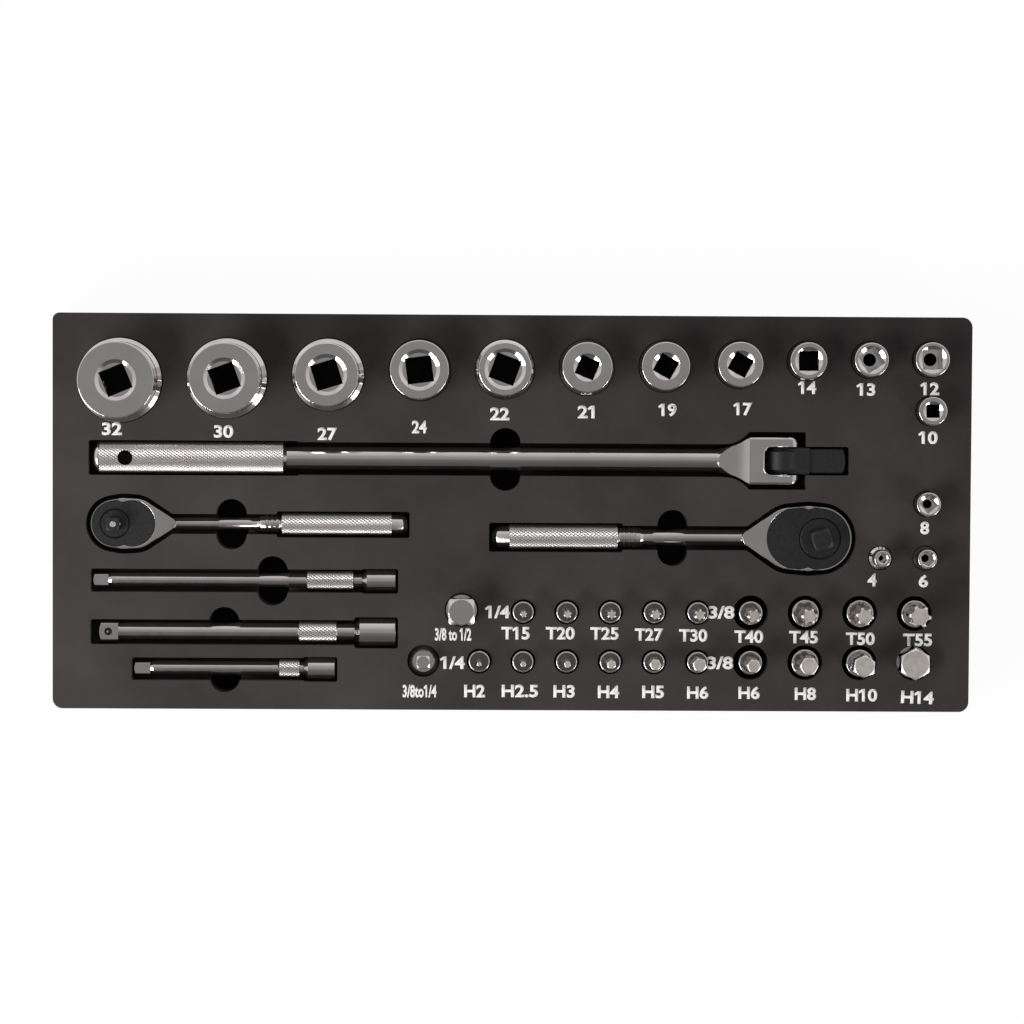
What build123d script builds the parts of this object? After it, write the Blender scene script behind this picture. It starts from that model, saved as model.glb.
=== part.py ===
from build123d import *
from collections import namedtuple
import math
import os

# A foam drawer tray of a tool chest with the socket set that lies in it.
# Millimetres, +X along the tray's long side, +Y to its far edge, +Z up.
# The origin is the middle of the tray's underside.

# Drive squares, their standard sizes
HALF_SQUARE = 12.7
THREE_EIGHTHS_SQUARE = 9.525
QUARTER_SQUARE = 6.35

# Clearances
SQUARE_CLEARANCE = 0.15
HEX_CLEARANCE = 0.05
PRESS_CLEARANCE = 0.02
RUNNING_CLEARANCE = 0.05
SLIDING_CLEARANCE = 0.1
FOAM_CLEARANCE = 0.35
REST_GAP = 0.3

# A male square's rounded edges, the flat of its end and its detent ball, as shares of its size
SQUARE_ROUNDING = 0.12
SQUARE_END_FACE = 0.96
SQUARE_END_SLOPE = 0.6
BALL_RADIUS = 0.19
BALL_SINK = 0.62

# Small edges
EDGE_BREAK = 0.6
MOUTH_DEPTH = 1.0
MOUTH_SLOPE = 1.8
MOUTH_SPREAD = {HALF_SQUARE: 1.0, THREE_EIGHTHS_SQUARE: 0.0, QUARTER_SQUARE: 0.2}

# Tray
BASE_THICKNESS = 5.0
BLOCK_THICKNESS = 30.0
CORNER_RADIUS = 5.0
TIGHT_CORNER_RADIUS = 3.5
EDGE_LAND = 11.9
NEAR_LAND = 15.7
SOCKET_WALL = 11.6
LABEL_STRIP = 9.0
ROW_WALL = 9.7
NARROW_ROW_WALL = 5.8
EXTENSION_WALL = 7.0
WIDE_EXTENSION_WALL = 11.7
NARROW_EXTENSION_WALL = 4.3
BIT_ROW_WALL = 9.8
BIT_ROW_PITCH = 24.8

foam_top = BASE_THICKNESS + BLOCK_THICKNESS

# Sockets: size across flats, drive square, outer diameters of the wrench end and the drive end,
# length, depth of its pocket, diameter of the passage through it, turn of its square in degrees.
Socket = namedtuple("Socket", "name size square wrench drive length pocket passage turn nose_up")
HALF_POCKET = 22.0
THREE_EIGHTHS_POCKET = 18.0
QUARTER_POCKET = 15.0

top_row = [
    Socket("socket_32", 32, HALF_SQUARE, 42.1, 37.8, 42.0, HALF_POCKET, 19.6, 22.6, False),
    Socket("socket_30", 30, HALF_SQUARE, 39.9, 35.0, 42.0, HALF_POCKET, 19.6, 20.0, False),
    Socket("socket_27", 27, HALF_SQUARE, 35.9, 31.4, 42.0, HALF_POCKET, 19.6, 17.0, False),
    Socket("socket_24", 24, HALF_SQUARE, 30.6, 29.2, 38.0, HALF_POCKET, 19.0, 7.5, False),
    Socket("socket_22", 22, HALF_SQUARE, 29.4, 26.4, 38.0, HALF_POCKET, 19.0, -20.0, False),
    Socket("socket_21", 21, THREE_EIGHTHS_SQUARE, 27.4, 25.0, 30.0, THREE_EIGHTHS_POCKET, 14.4, -22.6, False),
    Socket("socket_19", 19, THREE_EIGHTHS_SQUARE, 25.7, 24.0, 30.0, THREE_EIGHTHS_POCKET, 14.4, -29.0, False),
    Socket("socket_17", 17, THREE_EIGHTHS_SQUARE, 23.6, 22.4, 30.0, THREE_EIGHTHS_POCKET, 14.0, -29.0, False),
    Socket("socket_14", 14, THREE_EIGHTHS_SQUARE, 19.6, 18.4, 28.0, THREE_EIGHTHS_POCKET, 13.6, 0.0, False),
    Socket("socket_13", 13, THREE_EIGHTHS_SQUARE, 18.2, 17.0, 28.0, THREE_EIGHTHS_POCKET, 6.5, 33.0, False),
    Socket("socket_12", 12, THREE_EIGHTHS_SQUARE, 17.6, 17.0, 28.0, THREE_EIGHTHS_POCKET, 6.5, 1.0, False),
]
side_group = [
    Socket("socket_10", 10, QUARTER_SQUARE, 14.6, 14.2, 25.0, QUARTER_POCKET, 9.2, 0.0, False),
    Socket("socket_8", 8, QUARTER_SQUARE, 12.4, 12.0, 25.0, QUARTER_POCKET, 4.5, 40.0, False),
    Socket("socket_6", 6, QUARTER_SQUARE, 9.6, 11.9, 25.0, QUARTER_POCKET, 4.0, 10.0, True),
    Socket("socket_4", 4, QUARTER_SQUARE, 8.4, 11.6, 25.0, QUARTER_POCKET, 3.0, 15.0, True),
]
SHOULDER_RISE = 1.6
SHOULDER_OVER_FOAM = 1.6
SOCKET_SQUARE_DEPTH = 0.4
SOCKET_HEX_DEPTH = 0.42
DETENT_GROOVE = 0.35

# Bit sockets: the holder's drive end, nose and length, the bit's shank, and the bit's tip
Bit = namedtuple("Bit", "name form size holder nose shank turn")
Holder = namedtuple("Holder", "square drive length drive_length total pocket")
QUARTER_HOLDER = Holder(QUARTER_SQUARE, 11.8, 22.0, 11.0, 37.0, 20.0)
THREE_EIGHTHS_HOLDER = Holder(THREE_EIGHTHS_SQUARE, 16.8, 28.0, 13.0, 48.0, 26.0)
SHORT_HOLDER = Holder(THREE_EIGHTHS_SQUARE, 16.8, 20.0, 13.0, 33.0, 26.0)
QUARTER_NOSE = 10.6
SLIM_NOSE = 11.8
FULL_NOSE = 13.5
QUARTER_SHANK = 6.35

# The round recess in a bit socket's nose, and the slopes and small edges of the bit
NOSE_SLOPE = 1.6
NOSE_WALL = 0.8
NOSE_RECESS = 4.0
NOSE_PLAY = 0.1
TIP_EDGE = 0.15
TIP_EDGE_SHARE = 0.16
TIP_EDGE_SLOPE = 0.45

# Valleys of a six-lobed star, their radius and their distance past it as shares of the star's radius
STAR_VALLEY = 0.46
STAR_VALLEY_AT = 0.71

star_row = [
    Bit("bit_t15", "star", 3.27, QUARTER_HOLDER, QUARTER_NOSE, QUARTER_SHANK, 8.0),
    Bit("bit_t20", "star", 3.86, QUARTER_HOLDER, QUARTER_NOSE, QUARTER_SHANK, 20.0),
    Bit("bit_t25", "star", 4.43, QUARTER_HOLDER, QUARTER_NOSE, QUARTER_SHANK, 30.0),
    Bit("bit_t27", "star", 4.99, QUARTER_HOLDER, QUARTER_NOSE, QUARTER_SHANK, 12.0),
    Bit("bit_t30", "star", 5.52, QUARTER_HOLDER, QUARTER_NOSE, QUARTER_SHANK, 25.0),
    Bit("bit_t40", "star", 6.65, THREE_EIGHTHS_HOLDER, SLIM_NOSE, 8.0, 10.0),
    Bit("bit_t45", "star", 7.82, THREE_EIGHTHS_HOLDER, FULL_NOSE, 8.0, 4.0),
    Bit("bit_t50", "star", 8.83, THREE_EIGHTHS_HOLDER, FULL_NOSE, 8.0, -10.0),
    Bit("bit_t55", "star", 11.22, THREE_EIGHTHS_HOLDER, FULL_NOSE, 10.0, -6.0),
]
hex_row = [
    Bit("bit_h2", "hex", 2.0, QUARTER_HOLDER, QUARTER_NOSE, QUARTER_SHANK, 0.0),
    Bit("bit_h2_5", "hex", 2.5, QUARTER_HOLDER, QUARTER_NOSE, QUARTER_SHANK, 12.0),
    Bit("bit_h3", "hex", 3.0, QUARTER_HOLDER, QUARTER_NOSE, QUARTER_SHANK, 20.0),
    Bit("bit_h4", "hex", 4.0, QUARTER_HOLDER, QUARTER_NOSE, QUARTER_SHANK, 5.0),
    Bit("bit_h5", "hex", 5.0, QUARTER_HOLDER, QUARTER_NOSE, QUARTER_SHANK, 28.0),
    Bit("bit_h6_quarter", "hex", 6.0, QUARTER_HOLDER, QUARTER_NOSE, QUARTER_SHANK, 15.0),
    Bit("bit_h6_three_eighths", "hex", 6.0, THREE_EIGHTHS_HOLDER, SLIM_NOSE, 8.0, 22.0),
    Bit("bit_h8", "hex", 8.0, THREE_EIGHTHS_HOLDER, FULL_NOSE, 8.0, 30.0),
    Bit("bit_h10", "hex", 10.0, THREE_EIGHTHS_HOLDER, FULL_NOSE, 10.0, -6.0),
    Bit("bit_h14", "hex", 14.0, SHORT_HOLDER, 16.8, 10.0, 0.0),
]
SMALL_BIT_PITCH = 21.8
LARGE_BIT_PITCH = 27.3
SERIES_STEP = 26.4
BIT_LAND = 27.6

# Drive adaptors
HALF_ADAPTOR = "adaptor_three_eighths_to_half"
QUARTER_ADAPTOR = "adaptor_three_eighths_to_quarter"
HALF_ADAPTOR_X = -25.1
QUARTER_ADAPTOR_X = -44.0
HALF_ADAPTOR_OFFSET = 0.8
HALF_ADAPTOR_NECK = 15.2
ADAPTOR_DIAMETER = 16.2
HALF_ADAPTOR_BODY = 21.0
HALF_ADAPTOR_SQUARE = 14.5
HALF_ADAPTOR_POCKET = 20.0
QUARTER_ADAPTOR_DIAMETER = 15.4
QUARTER_ADAPTOR_BODY = 20.0
QUARTER_ADAPTOR_SQUARE = 8.0
QUARTER_ADAPTOR_POCKET = 19.0
ADAPTOR_NECK = 10.6

# Extension bars
Extension = namedtuple(
    "Extension",
    "name square length drive shank collar collar_length collar_inset socket socket_length land end_space ball_up",
)
extensions = [
    Extension("extension_quarter_long", QUARTER_SQUARE, 151.0, 7.5, 7.3, 8.8, 23.0, 21.4, 11.7, 14.5, 19.8, 0.9, False),
    Extension("extension_three_eighths", THREE_EIGHTHS_SQUARE, 148.0, 9.5, 9.0, 9.8, 18.5, 29.8, 15.0, 18.0, 22.8, 4.1, True),
    Extension("extension_quarter_short", QUARTER_SQUARE, 100.4, 8.0, 7.4, 8.6, 10.0, 18.0, 11.8, 13.5, 40.2, 0.9, False),
]
EXTENSION_AXIS_DROP = 7.0
EXTENSION_END_SPACE = 1.2
EXTENSION_SIDE_SPACE = 1.4
SHANK_SHOULDER = 1.6
SOCKET_END_FLARE = 2.6
BALL_ALONG = 0.52

# Breaker bar
BAR_LENGTH = 375.0
BAR_DIAMETER = 12.2
GRIP_DIAMETER = 15.6
GRIP_LENGTH = 94.7
GRIP_CHAMFER = 2.0
GRIP_CHAMFER_LENGTH = 2.0
HANG_HOLE = 7.5
HANG_HOLE_INSET = 16.2
BAR_AXIS_DROP = 7.0
BAR_LAND = 19.8
FORK_WIDTH = 24.0
FORK_THICKNESS = 18.4
FORK_LENGTH = 24.6
FORK_EDGE = 1.5
FORK_TIP_RADIUS = 4.0
HEAD_NECK_HEIGHT = 15.0
FLARE_LENGTH = 15.5
FLARE_POCKET_LENGTH = 12.5
SLOT_WIDTH = 14.2
SLOT_DEPTH = 17.2
SLOT_CORNER = 3.5
PIN_INSET = 6.9
PIN_DIAMETER = 6.0
HEAD_WIDTH = 13.6
HEAD_RADIUS = 9.0
HEAD_ROUNDING = 2.4
HEAD_NECK = 12.4
TANG_LENGTH = 18.0
BAR_SIDE_SPACE = 2.1
GRIP_SIDE_SPACE = 0.9
FORK_SIDE_SPACE = 2.4
BAR_END_SPACE = 2.0
FORK_END_SPACE = 3.7
TANG_END_SPACE = 1.7
POCKET_CORNER = 1.2

# Ratchets, sizes along the handle measured from the drive's own axis
Ratchet = namedtuple(
    "Ratchet",
    "name square lobe spread rim back back_rim neck_at neck_flare shank rings_at grip_at grip_end end grip thickness hub drive "
    "gear tooth pivot boss shaft boss_radius cap_radius spring_radius stem tip lever turn drop direction",
)
quarter_ratchet = Ratchet(
    "ratchet_quarter", QUARTER_SQUARE, 11.4, 8.7, 0.8, 1.3, 1.3, 27.0, 0.6, 6.5, 73.0, 83.0, 138.0, 145.8, 10.5, 9.6,
    14.0, 8.0, 8.0, 0.45, 13.0, 3.4, 2.0, 5.0, 3.4, 2.2, 0.9, 1.5, 9.0, 0.0, 6.4, 1,
)
three_eighths_ratchet = Ratchet(
    "ratchet_three_eighths", THREE_EIGHTHS_SQUARE, 15.4, 11.2, 0.6, 3.3, 0.4, 34.4, 1.9, 8.6, 90.0, 101.0, 156.5, 164.2,
    12.0, 12.0, 20.0, 10.6, 11.2, 0.6, 17.5, 4.6, 2.6, 7.0, 4.8, 3.0, 1.4, 2.0, 13.0, 17.0, 8.0, -1,
)
GEAR_TEETH = 36
COVER_THICKNESS = 1.6
RATCHET_FLOOR = 1.8
COVER_DEPTH = 0.3
COVER_EDGE = 0.3
HEAD_EDGE = 0.5
HUB_STAND = 0.6
GEAR_ROOM = 0.5
PAWL_WALL = 1.9
PAWL_TIP = 1.1
PAWL_SPREAD = 38.0
TOOTH_CLEARANCE = 0.12
RING_FLARE = 2.0
NECK_SLOPE = 0.25
NECK_ROUNDING = 15.0
FACET_REACH = 1.3
END_TAPER = 0.5
END_FACE = 0.62
LEVER_TIP = 0.6
CAP_DEPTH = 1.4
SPRING_LENGTH = 3.0
TIP_DEPTH = 1.0
TIP_STAND = 0.3
LEVER_THICKNESS = 2.4
BUTTON_STAND = 1.6
BUTTON_TRAVEL = 1.4
LEVER_ROCK = 70.0
PAWL_ROCK = 14.0
RATCHET_SIDE_SPACE = 2.0
NECK_SIDE_SPACE = 1.8
RATCHET_GRIP_SPACE = 1.3
GRIP_END_SPACE = 1.2
QUARTER_RATCHET_LAND = 18.4
THREE_EIGHTHS_RATCHET_LAND = 58.9

# Finger openings beside the lying tools: distance from the tool's near end or drive axis, and length
FINGER_WIDTH = 15.3
BAR_FINGER = (205.3, 31.4)
QUARTER_FINGER = (58.3, 25.2)
THREE_EIGHTHS_FINGER = (73.8, 28.2)
LONG_EXTENSION_FINGER = (89.6, 24.7)
MIDDLE_EXTENSION_FINGER = (62.6, 5.0)
SHORT_EXTENSION_FINGER = (45.5, -4.0)


def pocket_diameter(diameter):
    """The foam hole for a round piece."""
    return diameter + 2 * FOAM_CLEARANCE


# Rows, measured from the tray's far edge
widest_socket = pocket_diameter(top_row[0].wrench)
bar_pocket_width = BAR_DIAMETER + 2 * BAR_SIDE_SPACE
fork_pocket_width = FORK_WIDTH + 2 * FORK_SIDE_SPACE
bit_hole = pocket_diameter(THREE_EIGHTHS_HOLDER.drive)
bar_row = EDGE_LAND + widest_socket + LABEL_STRIP + bar_pocket_width / 2


def ratchet_half_width(ratchet):
    """Half the width of a ratchet's head, as far as its fuller middle."""
    return ratchet.lobe + 2 * ratchet.rim


quarter_pocket_half = ratchet_half_width(quarter_ratchet) + RATCHET_SIDE_SPACE
three_eighths_pocket_half = ratchet_half_width(three_eighths_ratchet) + RATCHET_SIDE_SPACE
quarter_ratchet_row = bar_row + bar_pocket_width / 2 + ROW_WALL + quarter_pocket_half
three_eighths_ratchet_row = bar_row + fork_pocket_width / 2 + NARROW_ROW_WALL + three_eighths_pocket_half
star_bit_row = three_eighths_ratchet_row + three_eighths_pocket_half + BIT_ROW_WALL + bit_hole / 2
hex_bit_row = star_bit_row + BIT_ROW_PITCH
tray_width = hex_bit_row + bit_hole / 2 + NEAR_LAND


def extension_half(extension):
    """Half the width of an extension's pocket at its socket end."""
    return extension.socket / 2 + FOAM_CLEARANCE


first_extension_row = quarter_ratchet_row + quarter_pocket_half + EXTENSION_WALL + extension_half(extensions[0])
second_extension_row = (
    first_extension_row + extension_half(extensions[0]) + WIDE_EXTENSION_WALL
    + extension_half(extensions[1])
)
third_extension_row = (
    second_extension_row + extension_half(extensions[1]) + NARROW_EXTENSION_WALL
    + extension_half(extensions[2])
)

# The tray is as long as its top row of sockets needs
top_row_span = sum(pocket_diameter(socket.wrench) for socket in top_row) + SOCKET_WALL * (len(top_row) - 1)
tray_length = 2 * EDGE_LAND + top_row_span
left_edge = -tray_length / 2
right_edge = tray_length / 2


def row_y(row):
    """A row's distance from the far edge, as a height in the tray's own frame."""
    return tray_width / 2 - row


def upright(x, y, z, turn=0.0):
    """A plane whose Z is the axis of a standing piece."""
    angle = math.radians(turn)
    return Plane((x, y, z), x_dir=(math.cos(angle), math.sin(angle), 0), z_dir=(0, 0, 1))


def lying(x, y, z):
    """A plane whose Z is the axis of a piece that lies along the tray, with its X upwards."""
    return Plane((x, y, z), x_dir=(0, 0, 1), z_dir=(1, 0, 0))


def turned(points, place, mode=Mode.ADD, rounded=(), rounding=0.0):
    """A turned shape from (radius, height) points about the place's own axis, some of its corners rounded."""
    side = Plane(place.origin, x_dir=place.x_dir, z_dir=-place.y_dir)
    with BuildSketch(side, mode=Mode.PRIVATE) as profile:
        with BuildLine():
            Polyline(*points, close=True)
        make_face()
        if rounded:
            fillet([profile.vertices().sort_by_distance((*points[index], 0))[0] for index in rounded], rounding)
    revolve(profile.sketch, axis=Axis(place.origin, place.z_dir), mode=mode)


def rod(place, radius, start, end, mode=Mode.ADD):
    """A plain round stretch from start to end along the place's axis."""
    turned([(0, start), (radius, start), (radius, end), (0, end)], place, mode)


def prism(place, flats, sides, start, end, mode=Mode.ADD):
    """A regular prism that is as wide as the given size across its flats."""
    with BuildSketch(place.offset(start), mode=Mode.PRIVATE) as section:
        RegularPolygon(flats / 2, sides, major_radius=False, rotation=180 / sides)
    extrude(section.sketch, amount=end - start, mode=mode)


def square_hole(place, square, start, end, groove_at):
    """A female drive square with the shallow groove that a detent ball snaps into."""
    size = square + 2 * SQUARE_CLEARANCE
    prism(place, size, 4, start, end, Mode.SUBTRACT)
    groove = size / 2 + DETENT_GROOVE
    half_groove = square / 8
    rod(place, groove, groove_at - half_groove, groove_at + half_groove, Mode.SUBTRACT)


def square_mouth(place, square, face):
    """The turned countersink at the mouth of a female drive square."""
    corner = (square / 2 + SQUARE_CLEARANCE) * math.sqrt(2)
    mouth = corner + MOUTH_SPREAD[square]
    throat = mouth - MOUTH_DEPTH * MOUTH_SLOPE
    turned([(0, face), (mouth, face), (throat, face - MOUTH_DEPTH), (0, face - MOUTH_DEPTH)], place, Mode.SUBTRACT)


def square_drive(place, square, start, end):
    """A male drive square with rounded edges and a turned chamfer on its end."""
    with BuildSketch(place.offset(start), mode=Mode.PRIVATE) as section:
        RectangleRounded(square, square, square * SQUARE_ROUNDING)
    extrude(section.sketch, amount=end - start)
    face_radius = square * SQUARE_END_FACE / 2
    reach = square
    turned(
        [(face_radius, end), (reach, end), (reach, end - (reach - face_radius) * SQUARE_END_SLOPE)],
        place,
        Mode.SUBTRACT,
    )


def detent_ball(place, square, at):
    """A ball on the square's X side: its hole, and the ball that stands a little proud of the side."""
    radius = square * BALL_RADIUS
    centre = square / 2 - radius * BALL_SINK
    side = Plane(place.origin + place.z_dir * at, x_dir=place.z_dir, z_dir=place.x_dir)
    rod(side, radius + SLIDING_CLEARANCE, centre - radius - RUNNING_CLEARANCE, square, Mode.SUBTRACT)
    return side.origin + place.x_dir * centre, radius


def add_ball(centre, radius):
    """The loose ball itself, a solid of its own."""
    with Locations(centre):
        Sphere(radius)


def save(piece, name):
    """Label a finished piece and write its file."""
    piece.part.label = name
    export_step(piece.part, f"parts/{name}.step")


os.makedirs("parts", exist_ok=True)

# Places of everything that stands in the tray
standing = {}
cursor = left_edge + EDGE_LAND
for socket in top_row:
    hole = pocket_diameter(socket.wrench)
    standing[socket.name] = (cursor + hole / 2, row_y(EDGE_LAND + hole / 2))
    cursor += hole + SOCKET_WALL

SIDE_ROWS = (46.6, 92.9, 120.1, 120.1)
SIDE_INSETS = (20.6, 22.2, 22.6, 44.9)
for socket, row, inset in zip(side_group, SIDE_ROWS, SIDE_INSETS):
    standing[socket.name] = (right_edge - inset, row_y(row))

large_columns = [right_edge - BIT_LAND - LARGE_BIT_PITCH * step for step in (3, 2, 1, 0)]
small_end = large_columns[0] - SERIES_STEP
small_columns = [small_end - SMALL_BIT_PITCH * step for step in (5, 4, 3, 2, 1, 0)]
for bit, x in zip(star_row, small_columns[1:] + large_columns):
    standing[bit.name] = (x, row_y(star_bit_row))
for bit, x in zip(hex_row, small_columns + large_columns):
    standing[bit.name] = (x, row_y(hex_bit_row))
standing[HALF_ADAPTOR] = (HALF_ADAPTOR_X, row_y(star_bit_row) + HALF_ADAPTOR_OFFSET)
standing[QUARTER_ADAPTOR] = (QUARTER_ADAPTOR_X, row_y(hex_bit_row))

bar_x = left_edge + BAR_LAND
bar_z = foam_top - BAR_AXIS_DROP
bar_y = row_y(bar_row)
pin_x = bar_x + BAR_LENGTH - TANG_LENGTH - HEAD_NECK
fork_tip_x = pin_x + PIN_INSET
fork_x = fork_tip_x - FORK_LENGTH
extension_rows = (first_extension_row, second_extension_row, third_extension_row)


def ratchet_place(ratchet, x, row):
    """The ratchet's own plane: origin on its drive axis at its underside, X along the handle."""
    z = foam_top - ratchet.drop - ratchet.thickness / 2
    return Plane((x, row_y(row), z), x_dir=(ratchet.direction, 0, 0), z_dir=(0, 0, 1))


quarter_place = ratchet_place(
    quarter_ratchet,
    left_edge + QUARTER_RATCHET_LAND + quarter_ratchet.lobe + quarter_ratchet.rim,
    quarter_ratchet_row,
)
three_eighths_place = ratchet_place(
    three_eighths_ratchet,
    right_edge - THREE_EIGHTHS_RATCHET_LAND - three_eighths_ratchet.lobe - three_eighths_ratchet.rim,
    three_eighths_ratchet_row,
)


def head_outline(ratchet, extra=0.0):
    """The head seen from above: a smooth band round two lobes, a fuller back and the neck of the handle."""
    with BuildSketch(mode=Mode.PRIVATE) as outline:
        with BuildLine():
            CenterArc((0, 0), ratchet.lobe + ratchet.rim + extra, 0, 360)
            CenterArc((ratchet.spread / 2, 0), ratchet.lobe + 2 * ratchet.rim + extra, 0, 360)
            CenterArc((ratchet.spread, 0), ratchet.lobe + ratchet.rim + extra, 0, 360)
            CenterArc((ratchet.spread + ratchet.back, 0), ratchet.lobe + ratchet.back_rim + extra, 0, 360)
            CenterArc((ratchet.neck_at, 0), ratchet.shank / 2 + extra, 0, 360)
        make_hull()
    return outline.sketch


# Foam sheet that closes the tray's underside
def tray_outline():
    """The tray's rectangle with its rounded corners, the far left one tighter."""
    with BuildSketch(mode=Mode.PRIVATE) as outline:
        Rectangle(tray_length, tray_width)
        corners = outline.vertices().sort_by(Axis.X)
        tight = corners[:2].sort_by(Axis.Y)[-1]
        others = [corner for corner in corners if corner != tight]
        fillet(others, CORNER_RADIUS)
        tight = outline.vertices().sort_by_distance((left_edge, tray_width / 2, 0))[0]
        fillet(tight, TIGHT_CORNER_RADIUS)
    return outline.sketch


with BuildPart() as foam_base:
    extrude(tray_outline(), amount=BASE_THICKNESS)
save(foam_base, "foam_base")


# Foam block with a pocket for every tool
def round_pocket(place, diameter, depth):
    """A round hole from the foam's top."""
    with Locations((place[0], place[1], foam_top - depth)):
        Cylinder(diameter / 2, depth, align=(Align.CENTER, Align.CENTER, Align.MIN), mode=Mode.SUBTRACT)


def trough(start, end, y, width, floor):
    """A straight pocket along the tray, from start to end, down to a floor."""
    with BuildSketch(Plane.XY.offset(floor), mode=Mode.PRIVATE) as outline:
        with Locations(((start + end) / 2, y)):
            RectangleRounded(end - start, width, POCKET_CORNER)
    extrude(outline.sketch, amount=foam_top - floor, mode=Mode.SUBTRACT)


def finger_opening(x, y, length):
    """A deep slot across a tool, to lift it out with two fingers."""
    with BuildSketch(Plane.XY.offset(BASE_THICKNESS), mode=Mode.PRIVATE) as outline:
        with Locations((x, y)):
            SlotOverall(length, FINGER_WIDTH, rotation=90)
    extrude(outline.sketch, amount=BLOCK_THICKNESS, mode=Mode.SUBTRACT)


def half_finger_opening(x, y):
    """A deep round opening beside a tool, for one finger."""
    with Locations((x, y, BASE_THICKNESS)):
        Cylinder(
            FINGER_WIDTH / 2, BLOCK_THICKNESS, align=(Align.CENTER, Align.CENTER, Align.MIN), mode=Mode.SUBTRACT
        )


def bar_pocket():
    """The breaker bar's pocket: grip, rod, flare, fork and drive head."""
    handle_floor = bar_z - GRIP_DIAMETER / 2 - REST_GAP
    fork_floor = bar_z - FORK_THICKNESS / 2 - REST_GAP
    tang_end = bar_x + BAR_LENGTH
    grip_end = bar_x + GRIP_LENGTH + GRIP_DIAMETER / 2
    trough(bar_x - BAR_END_SPACE, grip_end, bar_y, GRIP_DIAMETER + 2 * GRIP_SIDE_SPACE, handle_floor)
    flare_start = fork_x - FLARE_POCKET_LENGTH
    trough(grip_end - 2 * POCKET_CORNER, flare_start + 2 * POCKET_CORNER, bar_y, bar_pocket_width, handle_floor)
    near_side, far_side = bar_y - bar_pocket_width / 2, bar_y + bar_pocket_width / 2
    near_fork, far_fork = bar_y - fork_pocket_width / 2, bar_y + fork_pocket_width / 2
    with BuildSketch(Plane.XY.offset(fork_floor), mode=Mode.PRIVATE) as outline:
        with BuildLine():
            TangentArc((flare_start, near_side), (fork_x, near_fork), tangent=(1, 0))
            Polyline(
                (fork_x, near_fork),
                (fork_tip_x + FORK_END_SPACE, near_fork),
                (fork_tip_x + FORK_END_SPACE, far_fork),
                (fork_x, far_fork),
            )
            TangentArc((flare_start, far_side), (fork_x, far_fork), tangent=(1, 0))
            Line((flare_start, far_side), (flare_start, near_side))
        make_face()
    extrude(outline.sketch, amount=foam_top - fork_floor, mode=Mode.SUBTRACT)
    trough(fork_x, tang_end + TANG_END_SPACE, bar_y, HEAD_WIDTH + 2 * FOAM_CLEARANCE, fork_floor)


def extension_pocket(extension, row):
    """An extension's pocket: a straight run for the shank and a wider one for its socket end."""
    start = left_edge + extension.land
    end = start + extension.length
    widest = max(extension.square, extension.shank, extension.collar)
    floor = foam_top - EXTENSION_AXIS_DROP - extension.socket / 2 - REST_GAP
    shank_floor = foam_top - EXTENSION_AXIS_DROP - widest / 2 - REST_GAP
    y = row_y(row)
    trough(start - extension.end_space, end, y, widest + 2 * EXTENSION_SIDE_SPACE, shank_floor)
    socket_from = end - extension.socket_length - SOCKET_END_FLARE
    trough(socket_from, end + EXTENSION_END_SPACE, y, extension.socket + 2 * FOAM_CLEARANCE, floor)


def ratchet_pocket(ratchet, place):
    """A ratchet's pocket: deep under its head, shallower along its handle."""
    clear_under = LEVER_THICKNESS + RUNNING_CLEARANCE + REST_GAP
    head_floor = place.origin.Z - max(clear_under, BUTTON_STAND + REST_GAP)
    floor_place = Plane((place.origin.X, place.origin.Y, head_floor), x_dir=place.x_dir, z_dir=place.z_dir)
    with BuildSketch(floor_place, mode=Mode.PRIVATE) as outline:
        add(head_outline(ratchet, RATCHET_SIDE_SPACE))
    extrude(outline.sketch, amount=foam_top - head_floor, mode=Mode.SUBTRACT)
    handle_floor = place.origin.Z + ratchet.thickness / 2 - ratchet.grip / 2 - REST_GAP
    centre, direction = place.origin, ratchet.direction
    for start, end, width in (
        (ratchet.spread + ratchet.lobe, ratchet.grip_at, ratchet.shank + 2 * NECK_SIDE_SPACE),
        (ratchet.grip_at - 2 * POCKET_CORNER, ratchet.end + GRIP_END_SPACE, ratchet.grip + 2 * RATCHET_GRIP_SPACE),
    ):
        ends = sorted((centre.X + direction * start, centre.X + direction * end))
        trough(*ends, centre.Y, width, handle_floor)


finger_openings = [
    (bar_x + BAR_FINGER[0], bar_y, BAR_FINGER[1]),
    (quarter_place.origin.X + QUARTER_FINGER[0], quarter_place.origin.Y, QUARTER_FINGER[1]),
    (three_eighths_place.origin.X - THREE_EIGHTHS_FINGER[0], three_eighths_place.origin.Y, THREE_EIGHTHS_FINGER[1]),
    (left_edge + extensions[0].land + LONG_EXTENSION_FINGER[0], row_y(extension_rows[0]), LONG_EXTENSION_FINGER[1]),
]
half_finger_openings = [
    (left_edge + extension.land + along, row_y(row) + beside)
    for extension, row, (along, beside) in zip(
        extensions[1:], extension_rows[1:], (MIDDLE_EXTENSION_FINGER, SHORT_EXTENSION_FINGER)
    )
]

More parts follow.
